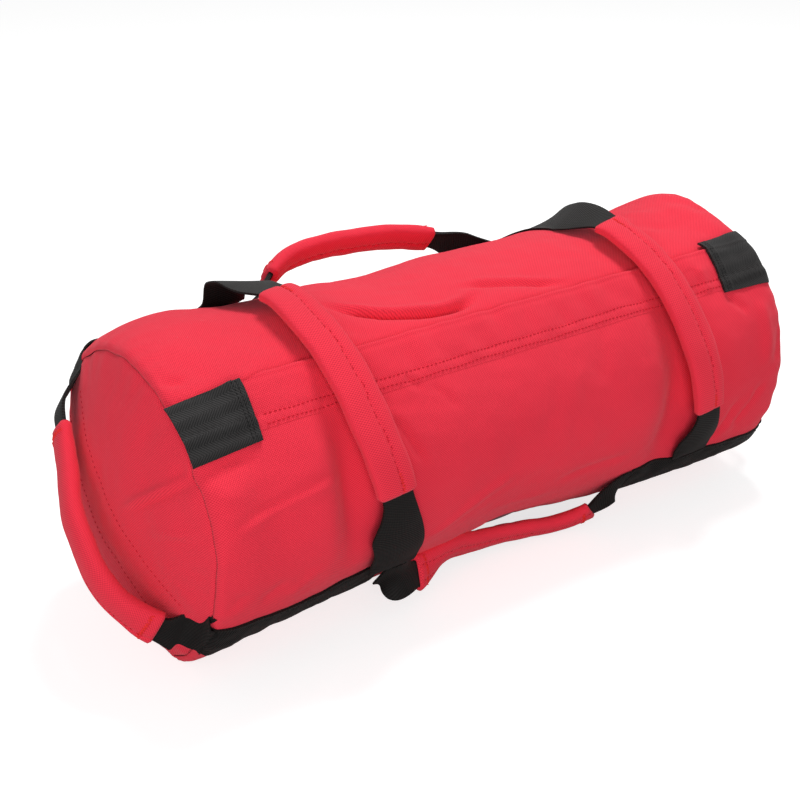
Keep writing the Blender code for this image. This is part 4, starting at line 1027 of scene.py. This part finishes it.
def make_long_handles():
    """The upright handle behind the bag and the one folded under its front."""
    x = LONG_MIDDLE + LONG_SPAN * through((-0.5, -0.45, -0.38, -0.27, -0.14, 0.0, 0.13, 0.25, 0.36, 0.44,
                                           0.5), PATH)
    x[0], x[-1] = LONG_LOW, LONG_HIGH
    back = 0.046 * through((0.0, 0.15, 0.46, 0.82, 0.94, 0.93, 0.87, 0.73, 0.50, 0.20, 0.0), PATH)
    front = 0.0155 * through((0.0, 0.25, 0.52, 0.58, 0.56, 0.64, 0.85, 1.0, 0.86, 0.40, 0.0), PATH)
    turns = through((FRONT_ANGLE, FRONT_ANGLE, 133.0, 139.5, 143.0, 144.0, 144.0, 143.0, 138.0, 129.2,
                     FRONT_ANGLE), PATH)
    turned = np.interp(x, (LONG_LOW, -0.112, -0.100, -0.090, -0.074, -0.058, -0.01, 0.04, 0.078, 0.092,
                           0.104, LONG_HIGH),
                       (0.0, 24.0, 60.0, 72.0, 46.0, 22.0, 14.0, 4.0, 8.0, 24.0, 18.0, 0.0))
    turned = smoothed(turned, 6) * step(LONG_LOW, LONG_LOW + 0.020, x)
    narrow = -0.012 * bell(x - 0.097, 0.010) - 0.010 * bell(x + 0.122, 0.010)
    hump = 0.0030 * bell(x + 0.1245, 0.012) + 0.0065 * bell(x + 0.054, 0.026)
    for word, rise, angle, end, thick, higher, twist, widen, seed in (
            ("back", back, np.full(PATH, BACK_ANGLE), 0.069, 0.0145, 0.0, 0.0, 0.0, 60),
            ("front", front, turns, 0.083, 0.0128, hump, turned, narrow, 70)):
        centre = base_point(x, angle, SEAT + np.maximum(rise, 0.0))
        centre[:, 2] += higher
        span = nearest(x, LONG_MIDDLE - 0.084), nearest(x, end)
        make_handle("long", word, centre, outward(angle), (X_AXIS, X_AXIS), span,
                    ((GRIP_WIDTH, thick), FOLDED), ((1, 0.42), (1, -0.42), (-1, 0.0)), seed,
                    twist=twist, widen=widen)


def base_point(x, angle, lift):
    """Point above the plain barrel, without folds and swells, so that handles run as their solids do."""
    share = np.clip((HALF - np.abs(x)) / SHOULDER, 0.0, 1.0)
    radius = shouldered(share, SEAM_RADIUS) - waist(x, angle) * share
    point = (radius + lift)[..., None] * outward(angle)
    point[..., 0] = x
    return point + MIDDLE


def make_cross_handles():
    """The two handles over the zip side, from the back webbing to the front one."""
    edge = math.degrees((WEB_WIDTH / 2 + CROSS_GAP) / RADIUS)
    angles = through((BACK_ANGLE + edge, -30, -20, -8, 5, 20, 39, 58, 75, 90, 104, FRONT_ANGLE - edge),
                     PATH)
    rise = 0.0122 * through((0.0, 0.24, 0.44, 0.72, 0.95, 0.98, 1.0, 0.97, 0.9, 0.68, 0.42, 0.0), PATH)
    out = outward(angles)
    left = (-0.72, -0.72, -0.53, -0.3, -0.12, -0.13, -0.07, 0.03, 0.25, 0.48, 0.78, 0.80)
    right = (-1.1, -1.1, -1.0, -0.7, -0.35, -0.25, -0.13, 0.0, 0.22, 0.46, 0.70, 0.78)
    for word, side, drift, first, last, seed in (("left", -1, left, 2, 81, 80),
                                                 ("right", 1, right, 10.5, 92, 90)):
        x = side * CROSS_PLACE + CROSS_DRIFT * through(drift, PATH)
        lower = step(last, last + 16.0, angles) * (1 - step(112.0, 119.0, angles))
        widen = 0.003 * lower
        if side > 0:
            # the webbing behind the sleeve slides to the right, lies lower and twists
            fall = 1.0
            loose = (0.016 * X_AXIS - 0.0035 * out) * bell(angles + 22.0, 14.0)[:, None]
            twist = -21.0 * step(-40.0, -10.0, angles) * (1 - step(2.0, 17.0, angles))
        else:
            # the webbing behind the sleeve stands up, then falls steeply to its stitching
            fall = 1.0 - 0.85 * step(21.0, 29.0, -angles)
            shift = 0.010 * bell(angles + 31.0, 8.0) + 0.002 * bell(angles + 18.0, 8.0)
            loose = X_AXIS * (shift * step(-41.6, -34.0, angles))[:, None] \
                + out * (0.0070 * bell(angles + 20.0, 13.0) * fall)[:, None]
            twist = 12.0 * step(-32.0, -20.0, angles) * (1 - step(-16.0, -2.0, angles))
            widen = widen + 0.006 * bell(angles + 10.0, 8.0)
        centre = base_point(x, angles, SEAT + rise * fall)
        make_handle("cross", word, centre, out, outward(angles[[0, -1]] + 90.0),
                    (nearest(angles, first), nearest(angles, last)), (FLAT_GRIP, FLAT_FOLDED),
                    ((1, FLAT_ROW), (-1, 0.3)), seed, curl=-0.0025 * lower, widen=widen, power=3.4,
                    slide=-0.0045 * X_AXIS * bell(angles - 97.0, 13.0)[:, None] + loose, twist=twist,
                    square=0.6 * step(40.0, 75.0, angles), lane=FLAT_ROW)


def make_end_handles():
    """The handles over the two ends, from the back webbing to the front one."""
    out = END_HEIGHT * through((-0.395, -0.16, 0.12, 0.38, 0.54, 0.70, 0.87, 0.96, 1.0, 0.90, 0.72,
                                0.48, 0.24, 0.085, 0.038, 0.01), PATH)
    shares = through((-0.989, -0.985, -0.92, -0.76, -0.53, -0.28, -0.08, 0.13, 0.316, 0.487, 0.615,
                      0.718, 0.79, 0.86, 0.9, 0.922), PATH)
    place = END_REACH * shares
    dome = DOME * (1.0 - (place / SEAM_RADIUS) ** 2)
    turned = smoothed(np.interp(shares, (-0.989, -0.90, -0.62, -0.3, 0.2, 0.6, 0.74, 0.84, 0.90, 0.922),
                                (0.0, 5.0, 3.0, 0.0, 2.0, 6.0, 30.0, 38.0, 10.0, 0.0)), 4)
    up = np.array([0.0, 0.0, 1.0])
    for (side, word), seed in zip(SIDES, (100, 110)):
        # the right handle, which the photograph hides, lies 38 per cent nearer to its panel
        inside = np.clip((SEAM_RADIUS - np.abs(place)) / SHOULDER, 0.0, 1.0)
        share = 1.0 if side < 0 else 1.0 - 0.38 * inside
        centre = place[:, None] * outward(FRONT_ANGLE)
        centre[:, 0] = side * (HALF + dome + (out - dome) * share)
        centre = centre + MIDDLE
        pivot = MIDDLE + side * (HALF - 0.030) * X_AXIS
        runs = unit(centre[[1, -1]] - centre[[0, -2]])
        span = nearest(place, -0.068), nearest(place, 0.084)
        slide = -side * 0.0115 * X_AXIS * bell(shares + 0.84, 0.13)[:, None] \
            + 0.013 * up * bell(shares - 0.83, 0.045)[:, None]
        if side < 0:
            rising = 0.0055 * step(0.80, 0.87, shares) + 0.0045 * bell(shares - 0.885, 0.03)
            slide = slide + outward(FRONT_ANGLE - 90.0) * rising[:, None]
        centre[:, 0] -= side * 0.0045 * bell(shares - 0.35, 0.36)
        centre[:, 2] -= 0.0030 * bell(shares - 0.78, 0.13)
        make_handle("end", word, centre, unit(centre - pivot), runs, span,
                    ((GRIP_WIDTH, 0.0135), FOLDED), ((1, 0.5), (-1, 0.0)), seed, twist=-side * turned,
                    slide=slide)


# Inside the bag

def make_pouches():
    """Sand pouches: pillow tubes of grey cloth, their ends drawn to a sewn edge."""
    place = np.linspace(-1.0, 1.0, 56)[:, None]
    turn = np.linspace(0.0, TURN, 96, endpoint=False)[None]
    girth = 0.8 + 0.2 * np.sqrt(np.clip(1.0 - np.abs(place) ** 6, 0.0, 1.0))
    girth = girth * np.clip((1.0 - np.abs(place)) / 0.02, 0.0, 1.0) ** 0.5
    for number in (1, 2, 3):
        name = f"sand_pouch_{number}"
        low, high = (np.array(v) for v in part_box(name))
        half = (high - low) / 2 * 0.985
        lump = 1.0 + 0.008 * ripple(place * 70, turn * 100, 199 + number, 60.0)
        radius = 0.97 * (girth * lump - 0.01)
        rings = np.stack(np.broadcast_arrays(half[0] * place, half[1] * radius * np.sin(turn),
                                             half[2] * radius * np.cos(turn)), -1) + (low + high) / 2
        uv = cloth_map(place * half[0], np.append(turn, TURN)[None] * half[1])
        item = weld(ringed(f"pouch_cloth_{number}", rings, uv), 1e-5, fill=True)
        finish(item, "bag", POUCH, "pouch_fabric", name)


def dress_frame():
    """Finishes for the solids that stay as they are."""
    looks = {"end_web": BLACK, "zip_tape": TAPE, "zip_teeth": TEETH, "zip_top": ZINC,
             "zip_bottom": ZINC, "zip_slider": ZINC, "zip_pull": ZINC, "pouch_closure": LOOPS}
    for name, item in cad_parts.items():
        for start, material in looks.items():
            if name.startswith(start):
                item.data.materials.clear()
                item.data.materials.append(material)
                flat_cloth_map(item)


def flat_cloth_map(item):
    """The cloth's place on a carried-over solid: along X, and round the bag's axis."""
    data = item.data
    layer = data.uv_layers.get("cloth") or data.uv_layers.new(name="cloth")
    co = np.zeros(len(data.vertices) * 3, np.float32)
    data.vertices.foreach_get("co", co)
    co = co.reshape(-1, 3) - MIDDLE
    index = np.zeros(len(data.loops), np.int32)
    data.loops.foreach_get("vertex_index", index)
    turn = np.arctan2(-co[:, 1], co[:, 2]) * RADIUS
    layer.data.foreach_set("uv", np.stack([co[:, 0], turn], -1)[index].astype(np.float32).ravel())


# Studio

def make_studio():
    """Pale floor that keeps a soft shadow, white surroundings, plain soft light, and the camera."""
    scene = bpy.context.scene
    white = (1.0, 1.0, 1.0, 1.0)
    world = bpy.data.worlds.new("white_room")
    scene.world = world
    world.use_nodes = True
    tree = world.node_tree
    back = tree.nodes["Background"]
    rays = node(tree, "LightPath")
    seen = node(tree, "Math", [(0, rays.outputs["Is Camera Ray"]), (1, rays.outputs["Is Glossy Ray"])],
                operation="MAXIMUM")
    seen = node(tree, "Math", [(0, seen.outputs[0]), (1, rays.outputs["Is Transmission Ray"])],
                operation="MAXIMUM")
    # the room lights the bag at 0.37 and looks white
    level = node(tree, "MapRange", [(0, seen.outputs[0]), (3, 0.37), (4, 1.0)])
    tree.links.new(level.outputs[0], back.inputs["Strength"])
    back.inputs["Color"].default_value = white

    reach, height = 6.0, -0.0004
    corners = [(x * reach, y * reach, height) for x, y in ((-1, -1), (1, -1), (1, 1), (-1, 1))]
    floor_mesh = bpy.data.meshes.new("floor")
    floor_mesh.from_pydata(corners, [], [(0, 1, 2, 3)])
    floor = bpy.data.objects.new("floor", floor_mesh)
    scene.collection.objects.link(floor)
    # grey paint that also glows to the camera, so that the floor looks white and its shadow stays
    paint, tree, shader = surface("pale_floor_paint", 0.9, gloss=0.0)
    shader.inputs["Base Color"].default_value = (0.50, 0.50, 0.50, 1.0)
    rays = node(tree, "LightPath")
    glow = node(tree, "Math", [(0, rays.outputs["Is Camera Ray"]), (1, 0.74)], operation="MULTIPLY")
    shader.inputs["Emission Color"].default_value = white
    tree.links.new(glow.outputs[0], shader.inputs["Emission Strength"])
    floor_mesh.materials.append(paint)

    # discs of light: where they are, how wide, and how strong in watts
    lamps = (("key", (0.55, 0.35, 2.05), 0.7, 28.0), ("front", (-1.1, -1.9, 0.65), 1.2, 20.5),
             ("left", (-2.0, -0.5, 0.7), 1.5, 6.0))
    for name, place, size, power in lamps:
        lamp = bpy.data.lights.new(name, "AREA")
        lamp.shape = "DISK"
        lamp.size = size
        lamp.energy = power
        item = bpy.data.objects.new(name, lamp)
        item.location = place
        item.rotation_euler = (Vector(MIDDLE) - Vector(place)).to_track_quat("-Z", "Y").to_euler()
        scene.collection.objects.link(item)

    # the photograph's view: turned 36.42 degrees to the left of the front, and 24.83 degrees above
    camera = bpy.data.cameras.new("camera")
    camera.sensor_width = 36.0
    camera.lens = 60.3
    item = bpy.data.objects.new("camera", camera)
    turn, tilt = math.radians(-36.42), math.radians(24.83)
    item.location = Vector(MIDDLE) + Vector((-0.5852, -0.7331, 0.4369))
    back = Vector((math.sin(turn) * math.cos(tilt), -math.cos(turn) * math.cos(tilt), math.sin(tilt)))
    right = Vector((math.cos(turn), math.sin(turn), 0.0))
    item.rotation_euler = Matrix((right, back.cross(right), back)).transposed().to_euler()
    scene.collection.objects.link(item)
    scene.camera = item
    scene.view_settings.view_transform = "Standard"


def main():
    """Every piece, then the studio."""
    make_barrel()
    for side, word in SIDES:
        make_end(side, word)
    for side, word in SIDES:
        make_binding(side, word)
        end_rows(side, word)
    make_flap()
    for side, word in SIDES:
        make_tab(side, word)
    make_strap("strap_front_left", FRONT_ANGLE, -HALF - END_GAP, LONG_LOW - STRAP_GAP, 1)
    make_strap("strap_front_right", FRONT_ANGLE, LONG_HIGH + STRAP_GAP, HALF - END_GAP, 2)
    make_strap("strap_back_left", BACK_ANGLE, -BACK_STRAP_END, LONG_LOW - STRAP_GAP, 3)
    make_strap("strap_back_right", BACK_ANGLE, LONG_HIGH + STRAP_GAP, BACK_STRAP_END, 4)
    make_long_handles()
    make_cross_handles()
    make_end_handles()
    make_pouches()
    dress_frame()
    make_studio()


main()
